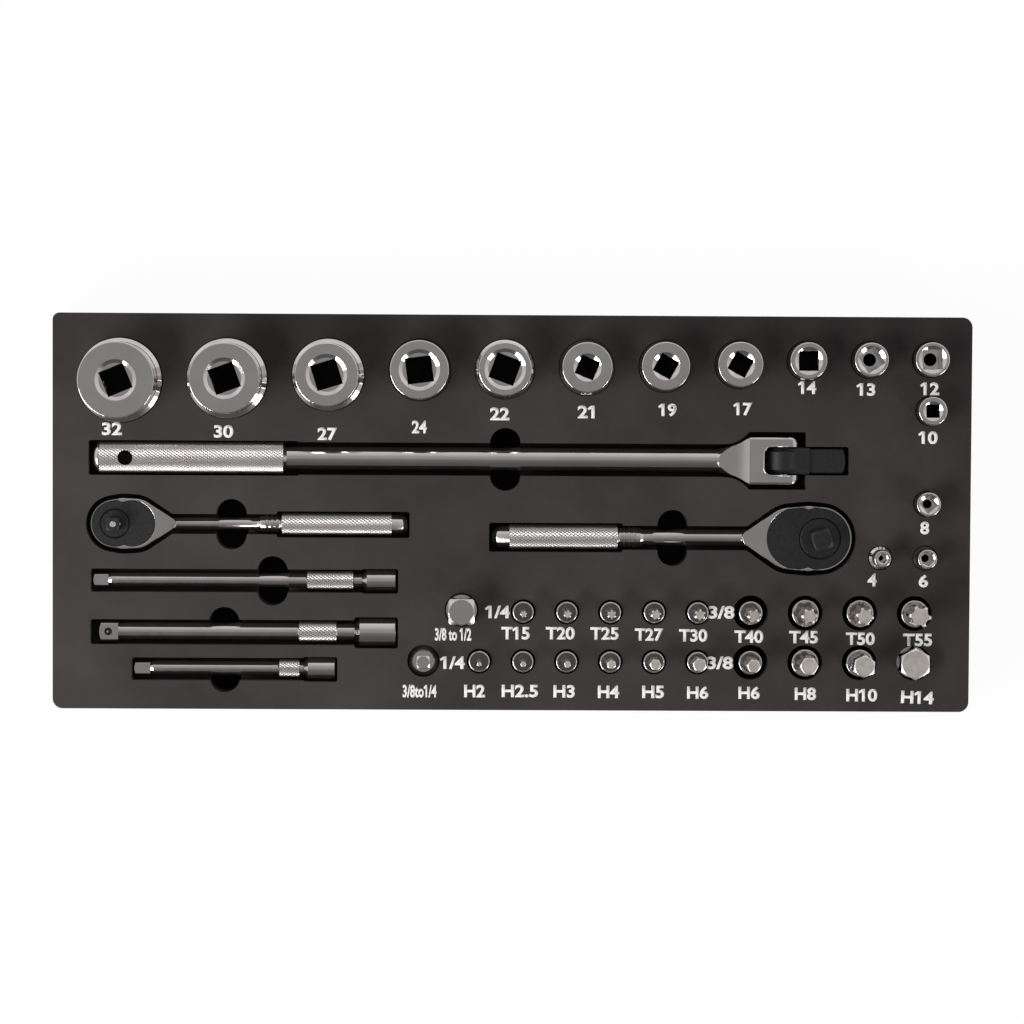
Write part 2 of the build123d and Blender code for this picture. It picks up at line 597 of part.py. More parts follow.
with BuildPart() as whole_block:
    with BuildSketch(Plane.XY.offset(BASE_THICKNESS)):
        add(tray_outline())
    extrude(amount=BLOCK_THICKNESS)
    for socket in top_row + side_group:
        round_pocket(standing[socket.name], pocket_diameter(max(socket.wrench, socket.drive)), socket.pocket)
    for bit in star_row + hex_row:
        round_pocket(standing[bit.name], pocket_diameter(bit.holder.drive), bit.holder.pocket)
    round_pocket(standing[HALF_ADAPTOR], pocket_diameter(ADAPTOR_DIAMETER), HALF_ADAPTOR_POCKET)
    round_pocket(standing[QUARTER_ADAPTOR], pocket_diameter(QUARTER_ADAPTOR_DIAMETER), QUARTER_ADAPTOR_POCKET)
    bar_pocket()
    for extension, row in zip(extensions, extension_rows):
        extension_pocket(extension, row)
    ratchet_pocket(quarter_ratchet, quarter_place)
    ratchet_pocket(three_eighths_ratchet, three_eighths_place)
    for x, y, length in finger_openings:
        finger_opening(x, y, length)
    for x, y in half_finger_openings:
        half_finger_opening(x, y)


# The block is stored as plain sections that meet face to face, so that each holds only a few pockets.
# On the real tray the foam is one piece.
def between(first, second):
    """Halfway along the tray between two standing tools."""
    return (standing[first][0] + standing[second][0]) / 2


sockets_middle = EDGE_LAND + (widest_socket + pocket_diameter(top_row[-1].wrench)) / 4
sockets_end = (EDGE_LAND + widest_socket + bar_row - BAR_FINGER[1] / 2) / 2
bar_end = (bar_row + BAR_FINGER[1] / 2 + quarter_ratchet_row - quarter_pocket_half) / 2
between_ratchets = (
    quarter_place.origin.X + quarter_ratchet.end + three_eighths_place.origin.X - three_eighths_ratchet.end
) / 2
extensions_end = left_edge + extensions[0].land + extensions[0].length + EXTENSION_END_SPACE
adaptors_start = QUARTER_ADAPTOR_X - pocket_diameter(QUARTER_ADAPTOR_DIAMETER) / 2
beside_extensions = (extensions_end + adaptors_start) / 2
whole_row = [left_edge, right_edge]
socket_columns = [left_edge, between("socket_30", "socket_27"), between("socket_22", "socket_21"), right_edge]
ratchet_columns = [left_edge, between_ratchets, right_edge]
extension_columns = [left_edge, beside_extensions]
bit_columns = [beside_extensions, between("bit_t20", "bit_t25"), between("bit_t30", "bit_t40"), right_edge]
section_rows = [
    (0, sockets_middle, socket_columns),
    (sockets_middle, sockets_end, socket_columns),
    (sockets_end, bar_end, whole_row),
    (bar_end, first_extension_row, ratchet_columns),
    (first_extension_row, second_extension_row, extension_columns),
    (second_extension_row, third_extension_row, extension_columns),
    (third_extension_row, tray_width, extension_columns),
    (first_extension_row, star_bit_row, bit_columns),
    (star_bit_row, hex_bit_row, bit_columns),
    (hex_bit_row, tray_width, bit_columns),
]
sections = []
for row_from, row_to, columns in section_rows:
    for x_from, x_to in zip(columns, columns[1:]):
        with BuildPart() as section:
            add(whole_block.part)
            with Locations(((x_from + x_to) / 2, (row_y(row_from) + row_y(row_to)) / 2, BASE_THICKNESS)):
                Box(
                    x_to - x_from, row_to - row_from, BLOCK_THICKNESS,
                    align=(Align.CENTER, Align.CENTER, Align.MIN), mode=Mode.INTERSECT,
                )
        sections.extend(section.solids())
foam_block = Compound(sections)
foam_block.label = "foam_block"
export_step(foam_block, "parts/foam_block.step")


# Sockets
def make_socket(socket):
    """A socket on its pocket's floor, its drive square up, or its hexagon up where it stands nose up."""
    x, y = standing[socket.name]
    floor = foam_top - socket.pocket
    place = upright(x, y, floor, socket.turn)
    wrench, drive, length = socket.wrench / 2, socket.drive / 2, socket.length
    if socket.nose_up:
        place = Plane((x, y, floor + length), x_dir=place.x_dir, z_dir=(0, 0, -1))
        shoulder = length - socket.pocket - SHOULDER_OVER_FOAM
    else:
        shoulder = socket.pocket + SHOULDER_OVER_FOAM
    square_depth = socket.square + SOCKET_SQUARE_DEPTH
    hex_depth = length * SOCKET_HEX_DEPTH
    hexagon = socket.size + 2 * HEX_CLEARANCE
    with BuildPart() as piece:
        turned(
            [
                (0, 0),
                (wrench, 0),
                (wrench, shoulder),
                (drive, shoulder + SHOULDER_RISE),
                (drive, length),
                (0, length),
            ],
            place,
            rounded=(1, 2, 3, 4),
            rounding=EDGE_BREAK,
        )
        rod(place, socket.passage / 2, 0, length - square_depth, Mode.SUBTRACT)
        prism(place, hexagon, 6, 0, hex_depth, Mode.SUBTRACT)
        hex_corner = hexagon / math.sqrt(3)
        turned([(0, 0), (hex_corner + EDGE_BREAK / 2, 0), (hex_corner - EDGE_BREAK, EDGE_BREAK), (0, EDGE_BREAK)],
               place, Mode.SUBTRACT)
        square_hole(place, socket.square, length - square_depth, length, length - square_depth / 2)
        square_mouth(place, socket.square, length)
    return piece


for socket in top_row + side_group:
    save(make_socket(socket), socket.name)


# Bit sockets
def star(place, size, start, end):
    """A six-lobed star prism, as wide as the given size over its points."""
    tip = size / 2
    valley = tip * STAR_VALLEY
    valley_at = tip * STAR_VALLEY_AT + valley
    with BuildSketch(place.offset(start), mode=Mode.PRIVATE) as section:
        Circle(tip)
        with PolarLocations(valley_at, 6, start_angle=30):
            Circle(valley, mode=Mode.SUBTRACT)
    extrude(section.sketch, amount=end - start)


def make_bit(bit):
    """A holder with a drive square underneath and a bit pressed in under its recessed nose."""
    x, y = standing[bit.name]
    holder = bit.holder
    place = upright(x, y, foam_top - holder.pocket, bit.turn)
    drive, nose = holder.drive / 2, bit.nose / 2
    tip_radius = bit.size / 2 if bit.form == "star" else bit.size / math.sqrt(3)
    recess = nose - NOSE_WALL
    # a bit that is wider than the recess sits on a plain nose instead
    seat = holder.length - NOSE_RECESS if tip_radius < recess - NOSE_PLAY else holder.length
    shank_from = seat - holder.square
    profile = [(0, 0), (drive, 0)]
    if drive > nose:
        profile += [(drive, holder.drive_length), (nose, holder.drive_length + (drive - nose) * NOSE_SLOPE)]
    profile += [(nose, holder.length), (0, holder.length)]
    with BuildPart() as piece:
        turned(profile, place, rounded=range(1, len(profile) - 1), rounding=EDGE_BREAK)
        square_hole(place, holder.square, 0, holder.square, holder.square / 2)
        if seat < holder.length:
            rod(place, recess, seat, holder.length, Mode.SUBTRACT)
        prism(place, bit.shank + 2 * PRESS_CLEARANCE, 6, shank_from - PRESS_CLEARANCE, seat, Mode.SUBTRACT)
        prism(place, bit.shank, 6, shank_from, seat)
        if bit.form == "star":
            star(place, bit.size, seat, holder.total)
        else:
            prism(place, bit.size, 6, seat, holder.total)
        end_chamfer = TIP_EDGE + tip_radius * TIP_EDGE_SHARE
        turned(
            [(tip_radius - end_chamfer, holder.total), (tip_radius + 1, holder.total),
             (tip_radius + 1, holder.total - (end_chamfer + 1) * TIP_EDGE_SLOPE)],
            place,
            Mode.SUBTRACT,
        )
    return piece


for bit in star_row + hex_row:
    save(make_bit(bit), bit.name)


# Drive adaptors, the male square up
def make_adaptor(name, square, diameter, neck, body, square_length, pocket, turn):
    """A round body with a 3/8 inch square hole underneath and a male square on its top."""
    x, y = standing[name]
    place = upright(x, y, foam_top - pocket, turn)
    slope_end = body - (diameter - neck) / 2
    with BuildPart() as piece:
        turned(
            [(0, 0), (diameter / 2, 0), (diameter / 2, slope_end - EDGE_BREAK), (neck / 2, body), (0, body)],
            place,
            rounded=(1, 2),
            rounding=EDGE_BREAK,
        )
        square_hole(place, THREE_EIGHTHS_SQUARE, 0, THREE_EIGHTHS_SQUARE, THREE_EIGHTHS_SQUARE / 2)
        square_drive(place, square, body, body + square_length)
        centre, radius = detent_ball(place, square, body + square_length / 2)
        add_ball(centre, radius)
    return piece


half_adaptor = make_adaptor(
    HALF_ADAPTOR, HALF_SQUARE, ADAPTOR_DIAMETER, HALF_ADAPTOR_NECK, HALF_ADAPTOR_BODY,
    HALF_ADAPTOR_SQUARE, HALF_ADAPTOR_POCKET, -90.0,
)
save(half_adaptor, HALF_ADAPTOR)
quarter_adaptor = make_adaptor(
    QUARTER_ADAPTOR, QUARTER_SQUARE, QUARTER_ADAPTOR_DIAMETER, ADAPTOR_NECK, QUARTER_ADAPTOR_BODY,
    QUARTER_ADAPTOR_SQUARE, QUARTER_ADAPTOR_POCKET, -90.0,
)
save(quarter_adaptor, QUARTER_ADAPTOR)


# Extension bars, the male square at their left end
def make_extension(extension, row):
    """A shank with a male square, a thicker collar for the fingers and a socket end."""
    x, y, z = left_edge + extension.land, row_y(row), foam_top - EXTENSION_AXIS_DROP
    place = lying(x, y, z)
    length, shank, collar, socket = extension.length, extension.shank / 2, extension.collar / 2, extension.socket / 2
    collar_end = length - extension.collar_inset
    collar_start = collar_end - extension.collar_length
    socket_start = length - extension.socket_length
    square_end = Plane((x + extension.drive, y, z), x_dir=(0, 0, 1 if extension.ball_up else -1), z_dir=(-1, 0, 0))
    socket_end = Plane((x + length, y, z), x_dir=(0, 0, 1), z_dir=(1, 0, 0))
    with BuildPart() as piece:
        turned(
            [
                (0, extension.drive),
                (extension.square / 2, extension.drive),
                (shank, extension.drive + SHANK_SHOULDER),
                (shank, collar_start - EDGE_BREAK),
                (collar, collar_start),
                (collar, collar_end),
                (shank, collar_end + EDGE_BREAK),
                (shank, socket_start - SOCKET_END_FLARE),
                (socket, socket_start),
                (socket, length - EDGE_BREAK / 2),
                (socket - EDGE_BREAK / 2, length),
                (0, length),
            ],
            place,
        )
        square_drive(square_end, extension.square, 0, extension.drive)
        square_hole(socket_end, extension.square, -extension.square, 0, -extension.square / 2)
        square_mouth(socket_end, extension.square, 0)
        centre, radius = detent_ball(square_end, extension.square, extension.drive * BALL_ALONG)
        add_ball(centre, radius)
    return piece


for extension, row in zip(extensions, extension_rows):
    save(make_extension(extension, row), extension.name)


# Breaker bar
bar_place = lying(bar_x, bar_y, bar_z)
fork_at = fork_x - bar_x
fork_tip_at = fork_tip_x - bar_x


def flare_outline(plane, fork_half):
    """The flare between the rod and the fork, its sides arcs that leave the rod smoothly."""
    start, end, rod_half = fork_at - FLARE_LENGTH, fork_at, BAR_DIAMETER / 2
    with BuildSketch(plane, mode=Mode.PRIVATE) as outline:
        with BuildLine():
            TangentArc((start, rod_half), (end, fork_half), tangent=(1, 0))
            Line((end, fork_half), (end, -fork_half))
            TangentArc((start, -rod_half), (end, -fork_half), tangent=(1, 0))
            Line((start, -rod_half), (start, rod_half))
        make_face()
    return outline.sketch


above = Plane((bar_x, bar_y, bar_z))
aside = Plane((bar_x, bar_y, bar_z), x_dir=(1, 0, 0), z_dir=(0, -1, 0))
fork_corner = math.hypot(FORK_WIDTH / 2 - FORK_EDGE, FORK_THICKNESS / 2 - FORK_EDGE) + FORK_EDGE
with BuildPart() as flare:
    extrude(flare_outline(above, FORK_WIDTH / 2), FORK_THICKNESS, both=True)
    extrude(flare_outline(aside, FORK_THICKNESS / 2), FORK_WIDTH, both=True, mode=Mode.INTERSECT)
    turned(
        [(0, fork_at - FLARE_LENGTH), (BAR_DIAMETER / 2, fork_at - FLARE_LENGTH), (fork_corner, fork_at), (0, fork_at)],
        bar_place,
        Mode.INTERSECT,
    )

with BuildPart() as bar_handle:
    grip, rod_radius = GRIP_DIAMETER / 2, BAR_DIAMETER / 2
    turned(
        [
            (0, 0),
            (grip - GRIP_CHAMFER, 0),
            (grip, GRIP_CHAMFER_LENGTH),
            (grip, GRIP_LENGTH),
            (rod_radius, GRIP_LENGTH + grip - rod_radius),
            (rod_radius, fork_at - FLARE_LENGTH),
            (0, fork_at - FLARE_LENGTH),
        ],
        bar_place,
    )
    add(flare.part)
    with BuildSketch(bar_place.offset(fork_at)):
        RectangleRounded(FORK_THICKNESS, FORK_WIDTH, FORK_EDGE)
    extrude(amount=FORK_LENGTH)
    tip = bar_handle.faces().sort_by(Axis.X)[-1]
    fillet(tip.edges().filter_by(Axis.Y), FORK_TIP_RADIUS)
    slot_overshoot = 2 * SLOT_CORNER
    with BuildSketch(Plane((fork_tip_x, bar_y, bar_z - FORK_THICKNESS))):
        with Locations(((slot_overshoot - SLOT_DEPTH) / 2, 0)):
            RectangleRounded(SLOT_DEPTH + slot_overshoot, SLOT_WIDTH, SLOT_CORNER)
    extrude(amount=2 * FORK_THICKNESS, mode=Mode.SUBTRACT)
    across = Plane((pin_x, bar_y, bar_z), x_dir=(1, 0, 0), z_dir=(0, -1, 0))
    rod(across, PIN_DIAMETER / 2 + PRESS_CLEARANCE, -FORK_WIDTH, FORK_WIDTH, Mode.SUBTRACT)
    down = Plane((bar_x + HANG_HOLE_INSET, bar_y, bar_z))
    rod(down, HANG_HOLE / 2, -GRIP_DIAMETER, GRIP_DIAMETER, Mode.SUBTRACT)
save(bar_handle, "bar_handle")

with BuildPart() as bar_hinge_pin:
    pin_half = FORK_WIDTH / 2
    turned(
        [(0, -pin_half), (PIN_DIAMETER / 2, -pin_half), (PIN_DIAMETER / 2, pin_half), (0, pin_half)],
        across,
    )
save(bar_hinge_pin, "bar_hinge_pin")

tang_place = Plane((pin_x + HEAD_NECK, bar_y, bar_z), x_dir=(0, 0, -1), z_dir=(1, 0, 0))
with BuildPart() as bar_drive_head:
    head_half = HEAD_WIDTH / 2
    rim = HEAD_RADIUS - HEAD_ROUNDING
    turned(
        [(0, -head_half), (rim, -head_half), (HEAD_RADIUS, HEAD_ROUNDING - head_half),
         (HEAD_RADIUS, head_half - HEAD_ROUNDING), (rim, head_half), (0, head_half)],
        across,
    )
    with BuildSketch(Plane((pin_x, bar_y, bar_z), x_dir=(0, 0, 1), z_dir=(1, 0, 0))):
        RectangleRounded(HEAD_NECK_HEIGHT, HEAD_WIDTH, SQUARE_ROUNDING * HALF_SQUARE)
    extrude(amount=HEAD_NECK)
    square_drive(tang_place, HALF_SQUARE, 0, TANG_LENGTH)
    rod(across, PIN_DIAMETER / 2 + RUNNING_CLEARANCE, -HEAD_WIDTH, HEAD_WIDTH, Mode.SUBTRACT)
    bar_ball_centre, bar_ball_radius = detent_ball(tang_place, HALF_SQUARE, TANG_LENGTH / 2)
save(bar_drive_head, "bar_drive_head")

with BuildPart() as bar_detent_ball:
    add_ball(bar_ball_centre, bar_ball_radius)
save(bar_detent_ball, "bar_detent_ball")


# Ratchets
def disc(place, centre, radius, start, end, mode=Mode.ADD):
    """A round disc beside the drive axis, between two heights over the ratchet's underside."""
    rod(Plane(place.from_local_coords(centre), x_dir=place.x_dir, z_dir=place.z_dir), radius, start, end, mode)


def gear_points(ratchet, extra=0.0, turn=0.0):
    """The gear's toothed outline: tips and roots in turn, each moved out by extra."""
    points = []
    for half_tooth in range(2 * GEAR_TEETH):
        radius = ratchet.gear + extra - (ratchet.tooth if half_tooth % 2 else 0)
        angle = math.radians(turn) + math.pi * half_tooth / GEAR_TEETH
        points.append((radius * math.cos(angle), radius * math.sin(angle)))
    return points


def toothed(place, points, start, end, mode=Mode.ADD):
    """A prism on a closed outline of points."""
    with BuildSketch(place.offset(start), mode=Mode.PRIVATE) as section:
        with BuildLine():
            Polyline(*points, close=True)
        make_face()
    extrude(section.sketch, amount=end - start, mode=mode)


def about_pivot(ratchet, points, angle):
    """Points turned about the pawl's pivot."""
    cos, sin = math.cos(math.radians(angle)), math.sin(math.radians(angle))
    return [
        (ratchet.pivot + (x - ratchet.pivot) * cos - y * sin, (x - ratchet.pivot) * sin + y * cos)
        for x, y in points
    ]


def make_body(ratchet, place):
    """The forged head and handle, hollow for the gear and the pawl."""
    top = ratchet.thickness
    axis_height = top / 2
    handle = Plane(
        place.from_local_coords((0, 0, axis_height)), x_dir=place.z_dir, z_dir=place.x_dir
    )
    shank, grip = ratchet.shank / 2, ratchet.grip / 2
    ring = (shank + grip) / 2
    neck_start = ratchet.neck_at - shank
    with BuildPart() as body:
        turned(
            [
                (0, neck_start),
                (shank + ratchet.neck_flare, neck_start),
                (shank, neck_start + ratchet.neck_flare / NECK_SLOPE),
                (shank, ratchet.rings_at - RING_FLARE),
                (ring, ratchet.rings_at),
                (ring, ratchet.grip_at - EDGE_BREAK),
                (grip, ratchet.grip_at),
                (grip, ratchet.end - grip * END_TAPER),
                (grip * END_FACE, ratchet.end),
                (0, ratchet.end),
            ],
            handle,
            rounded=(2,),
            rounding=NECK_ROUNDING,
        )
        with BuildSketch(place):
            add(head_outline(ratchet))
        extrude(amount=top)
        facet_from = ratchet.spread + ratchet.lobe
        facet_to = ratchet.neck_at + shank * FACET_REACH
        for level, side in ((top, 1), (0, -1)):
            flat, beyond = axis_height + side * shank, level + side * shank
            with BuildSketch(Plane(place.origin, x_dir=place.x_dir, z_dir=-place.y_dir), mode=Mode.PRIVATE) as wedge:
                with BuildLine():
                    Polyline((facet_from, level), (facet_to, flat), (facet_to, beyond), (facet_from, beyond),
                             close=True)
                make_face()
            extrude(wedge.sketch, amount=ratchet.lobe, both=True, mode=Mode.SUBTRACT)
        outer = body.faces().filter_by(Plane.XY)
        chamfer(outer.sort_by(Axis.Z)[-1].edges(), HEAD_EDGE)
        chamfer(body.faces().filter_by(Plane.XY).sort_by(Axis.Z)[0].edges(), HEAD_EDGE)
        gear_room = ratchet.gear + GEAR_ROOM
        pawl_room = ratchet.lobe - PAWL_WALL
        disc(place, (0, 0, 0), gear_room, RATCHET_FLOOR, top, Mode.SUBTRACT)
        disc(place, (ratchet.spread, 0, 0), pawl_room, RATCHET_FLOOR, top, Mode.SUBTRACT)
        seat = ratchet.lobe + RUNNING_CLEARANCE
        for along in (0, ratchet.spread):
            disc(place, (along, 0, 0), seat, top - COVER_DEPTH - COVER_THICKNESS, top, Mode.SUBTRACT)
        disc(place, (0, 0, 0), ratchet.boss_radius + RUNNING_CLEARANCE, 0, RATCHET_FLOOR, Mode.SUBTRACT)
        disc(place, (ratchet.pivot, 0, 0), ratchet.shaft + RUNNING_CLEARANCE, 0, RATCHET_FLOOR, Mode.SUBTRACT)
    return body


def make_cover(ratchet, place):
    """The two-lobed plate that closes the head round the drive's hub."""
    start = ratchet.thickness - COVER_DEPTH - COVER_THICKNESS
    end = ratchet.thickness - COVER_DEPTH
    with BuildPart() as cover:
        for along in (0, ratchet.spread):
            lobe_place = Plane(place.from_local_coords((along, 0, 0)), x_dir=place.x_dir, z_dir=place.z_dir)
            turned(
                [(0, start), (ratchet.lobe, start), (ratchet.lobe, end - COVER_EDGE),
                 (ratchet.lobe - COVER_EDGE, end), (0, end)],
                lobe_place,
            )
        disc(place, (0, 0, 0), ratchet.hub / 2 + RUNNING_CLEARANCE, start, end, Mode.SUBTRACT)
    return cover


def make_gear(ratchet, place):
    """The toothed gear with its lower boss, its hub and the male drive square."""
    gear_top = ratchet.thickness - COVER_DEPTH - COVER_THICKNESS - RUNNING_CLEARANCE
    hub_top = ratchet.thickness + HUB_STAND
    end = hub_top + ratchet.drive
    square_place = Plane(place.origin, x_dir=upright(0, 0, 0, ratchet.turn).x_dir, z_dir=(0, 0, 1))
    with BuildPart() as gear:
        toothed(place, gear_points(ratchet), RATCHET_FLOOR + RUNNING_CLEARANCE, gear_top)
        disc(place, (0, 0, 0), ratchet.boss_radius, 0, RATCHET_FLOOR + RUNNING_CLEARANCE)
        hub = ratchet.hub / 2
        turned(
            [(0, gear_top), (hub, gear_top), (hub, hub_top - HUB_STAND), (hub - HUB_STAND, hub_top), (0, hub_top)],
            place,
        )
        square_drive(square_place, ratchet.square, hub_top, end)
        rod(place, ratchet.stem + SLIDING_CLEARANCE, 0, end, Mode.SUBTRACT)
        rod(place, ratchet.tip + SLIDING_CLEARANCE, end - TIP_DEPTH, end, Mode.SUBTRACT)
        rod(place, ratchet.cap_radius + SLIDING_CLEARANCE, 0, CAP_DEPTH + BUTTON_TRAVEL + REST_GAP, Mode.SUBTRACT)
        spring_top = CAP_DEPTH + BUTTON_TRAVEL + REST_GAP + SPRING_LENGTH
        rod(place, ratchet.spring_radius + SLIDING_CLEARANCE, 0, spring_top, Mode.SUBTRACT)
        centre, radius = detent_ball(square_place, ratchet.square, hub_top + ratchet.drive * BALL_ALONG)
    return gear, centre, radius, spring_top


def make_detent_set(ratchet, place, centre, radius, spring_top):
    """The detent ball, and the button's return spring as a sleeve of its coil's size."""
    with BuildPart() as detent_set:
        add_ball(centre, radius)
        inner, outer = ratchet.stem + SLIDING_CLEARANCE, ratchet.spring_radius
        turned(
            [(inner, spring_top - SPRING_LENGTH), (outer, spring_top - SPRING_LENGTH), (outer, spring_top),
             (inner, spring_top)],
            place,
        )
    return detent_set


def make_button(ratchet, place):
    """The release button under the head, with its stem up through the gear to the square's end."""
    end = ratchet.thickness + HUB_STAND + ratchet.drive
    with BuildPart() as button:
        turned(
            [
                (0, -BUTTON_STAND),
                (ratchet.cap_radius - EDGE_BREAK, -BUTTON_STAND),
                (ratchet.cap_radius, EDGE_BREAK - BUTTON_STAND),
                (ratchet.cap_radius, CAP_DEPTH),
                (ratchet.stem, CAP_DEPTH),
                (ratchet.stem, end - TIP_DEPTH),
                (ratchet.tip, end - TIP_DEPTH),
                (ratchet.tip, end),
                (ratchet.tip - TIP_STAND, end + TIP_STAND),
                (0, end + TIP_STAND),
            ],
            place,
        )
    return button


def make_pawl(ratchet, place):
    """The pawl at one end of its rock: one toothed tip in the gear, the other one clear of it."""
    start = RATCHET_FLOOR + SLIDING_CLEARANCE
    end = ratchet.thickness - COVER_DEPTH - COVER_THICKNESS - SLIDING_CLEARANCE
    half_rock = PAWL_ROCK / 2
    tip_at = ratchet.gear + PAWL_TIP
    tips = [
        (tip_at * math.cos(math.radians(side * PAWL_SPREAD)), tip_at * math.sin(math.radians(side * PAWL_SPREAD)))
        for side in (1, -1)
    ]
    tips = about_pivot(ratchet, tips, -half_rock)
    with BuildPart() as pawl:
        with BuildSketch(place.offset(start)) as blank:
            with BuildLine():
                for x, y in tips:
                    CenterArc((x, y), PAWL_TIP, 0, 360)
                CenterArc((ratchet.pivot, 0), ratchet.boss, 0, 360)
            make_hull()
        extrude(amount=end - start)
        engaged = gear_points(ratchet, TOOTH_CLEARANCE)
        other_end = about_pivot(ratchet, engaged, -PAWL_ROCK)
        toothed(place, engaged, start, end, Mode.SUBTRACT)
        toothed(place, other_end, start, end, Mode.SUBTRACT)
        middle = about_pivot(ratchet, [(0, 0)], -half_rock)[0]
        disc(place, (*middle, 0), ratchet.gear + REST_GAP, start, end, Mode.SUBTRACT)
        disc(place, (ratchet.pivot, 0, 0), ratchet.shaft + SLIDING_CLEARANCE, start, end, Mode.SUBTRACT)
    return pawl


def make_lever(ratchet, place):
    """The reverse lever under the head, with its shaft up through the floor and the pawl."""
    shaft_top = ratchet.thickness - COVER_DEPTH - COVER_THICKNESS - SLIDING_CLEARANCE
    finger = about_pivot(ratchet, [(ratchet.pivot + ratchet.lever, 0)], -LEVER_ROCK / 2)[0]
    with BuildPart() as lever:
        with BuildSketch(place.offset(-LEVER_THICKNESS - RUNNING_CLEARANCE)):
            with BuildLine():
                CenterArc((ratchet.pivot, 0), ratchet.boss, 0, 360)
                CenterArc(finger, ratchet.boss * LEVER_TIP, 0, 360)
            make_hull()
        extrude(amount=LEVER_THICKNESS)
        chamfer(lever.faces().sort_by(Axis.Z)[0].edges(), EDGE_BREAK)
        disc(place, (ratchet.pivot, 0, 0), ratchet.shaft, -RUNNING_CLEARANCE - EDGE_BREAK, shaft_top)
    return lever


for ratchet, place in ((quarter_ratchet, quarter_place), (three_eighths_ratchet, three_eighths_place)):
    save(make_body(ratchet, place), ratchet.name + "_body")
    save(make_cover(ratchet, place), ratchet.name + "_cover_plate")
    drive_gear, ball_centre, ball_radius, spring_end = make_gear(ratchet, place)
    save(drive_gear, ratchet.name + "_drive_gear")
    save(make_detent_set(ratchet, place, ball_centre, ball_radius, spring_end), ratchet.name + "_detent_set")
    save(make_button(ratchet, place), ratchet.name + "_release_button")
    save(make_pawl(ratchet, place), ratchet.name + "_pawl")
    save(make_lever(ratchet, place), ratchet.name + "_reverse_lever")
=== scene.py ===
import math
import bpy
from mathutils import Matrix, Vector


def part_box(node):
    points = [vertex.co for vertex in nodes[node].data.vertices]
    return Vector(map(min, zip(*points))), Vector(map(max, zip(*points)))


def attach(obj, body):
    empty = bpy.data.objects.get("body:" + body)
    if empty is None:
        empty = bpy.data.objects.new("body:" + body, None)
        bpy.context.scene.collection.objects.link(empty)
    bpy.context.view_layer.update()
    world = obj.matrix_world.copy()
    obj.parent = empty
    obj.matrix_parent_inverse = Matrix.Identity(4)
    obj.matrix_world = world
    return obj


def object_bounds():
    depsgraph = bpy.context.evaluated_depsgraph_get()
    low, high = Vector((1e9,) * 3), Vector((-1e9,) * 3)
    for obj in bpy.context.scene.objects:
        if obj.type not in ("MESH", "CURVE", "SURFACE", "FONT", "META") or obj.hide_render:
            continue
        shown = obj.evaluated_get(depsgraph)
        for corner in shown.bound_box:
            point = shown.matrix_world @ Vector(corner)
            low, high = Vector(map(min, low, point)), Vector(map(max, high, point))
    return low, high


bl_info = {
    "name": "Socket set tray",
    "version": (1, 0, 0),
    "blender": (4, 5, 0),
    "location": "3D View > Sidebar > Tray",
    "description": "Foam, printed marks, chrome tools, knurled grips and the stage of a tool tray",
    "category": "Object",
}

import bmesh
import bpy
from mathutils import Matrix, Vector

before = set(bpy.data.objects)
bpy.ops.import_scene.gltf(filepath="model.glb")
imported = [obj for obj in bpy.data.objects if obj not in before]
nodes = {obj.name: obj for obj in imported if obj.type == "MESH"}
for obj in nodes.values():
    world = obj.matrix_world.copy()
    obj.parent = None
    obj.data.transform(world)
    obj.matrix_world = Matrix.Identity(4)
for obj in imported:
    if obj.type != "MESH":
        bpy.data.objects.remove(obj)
cad_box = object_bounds()

SOCKETS = sorted(name for name in nodes if name.startswith("socket_"))
BITS = sorted(name for name in nodes if name.startswith("bit_"))
EXTENSIONS = sorted(name for name in nodes if name.startswith("extension_"))
ADAPTORS = sorted(name for name in nodes if name.startswith("adaptor_"))
RATCHETS = ("ratchet_quarter", "ratchet_three_eighths")

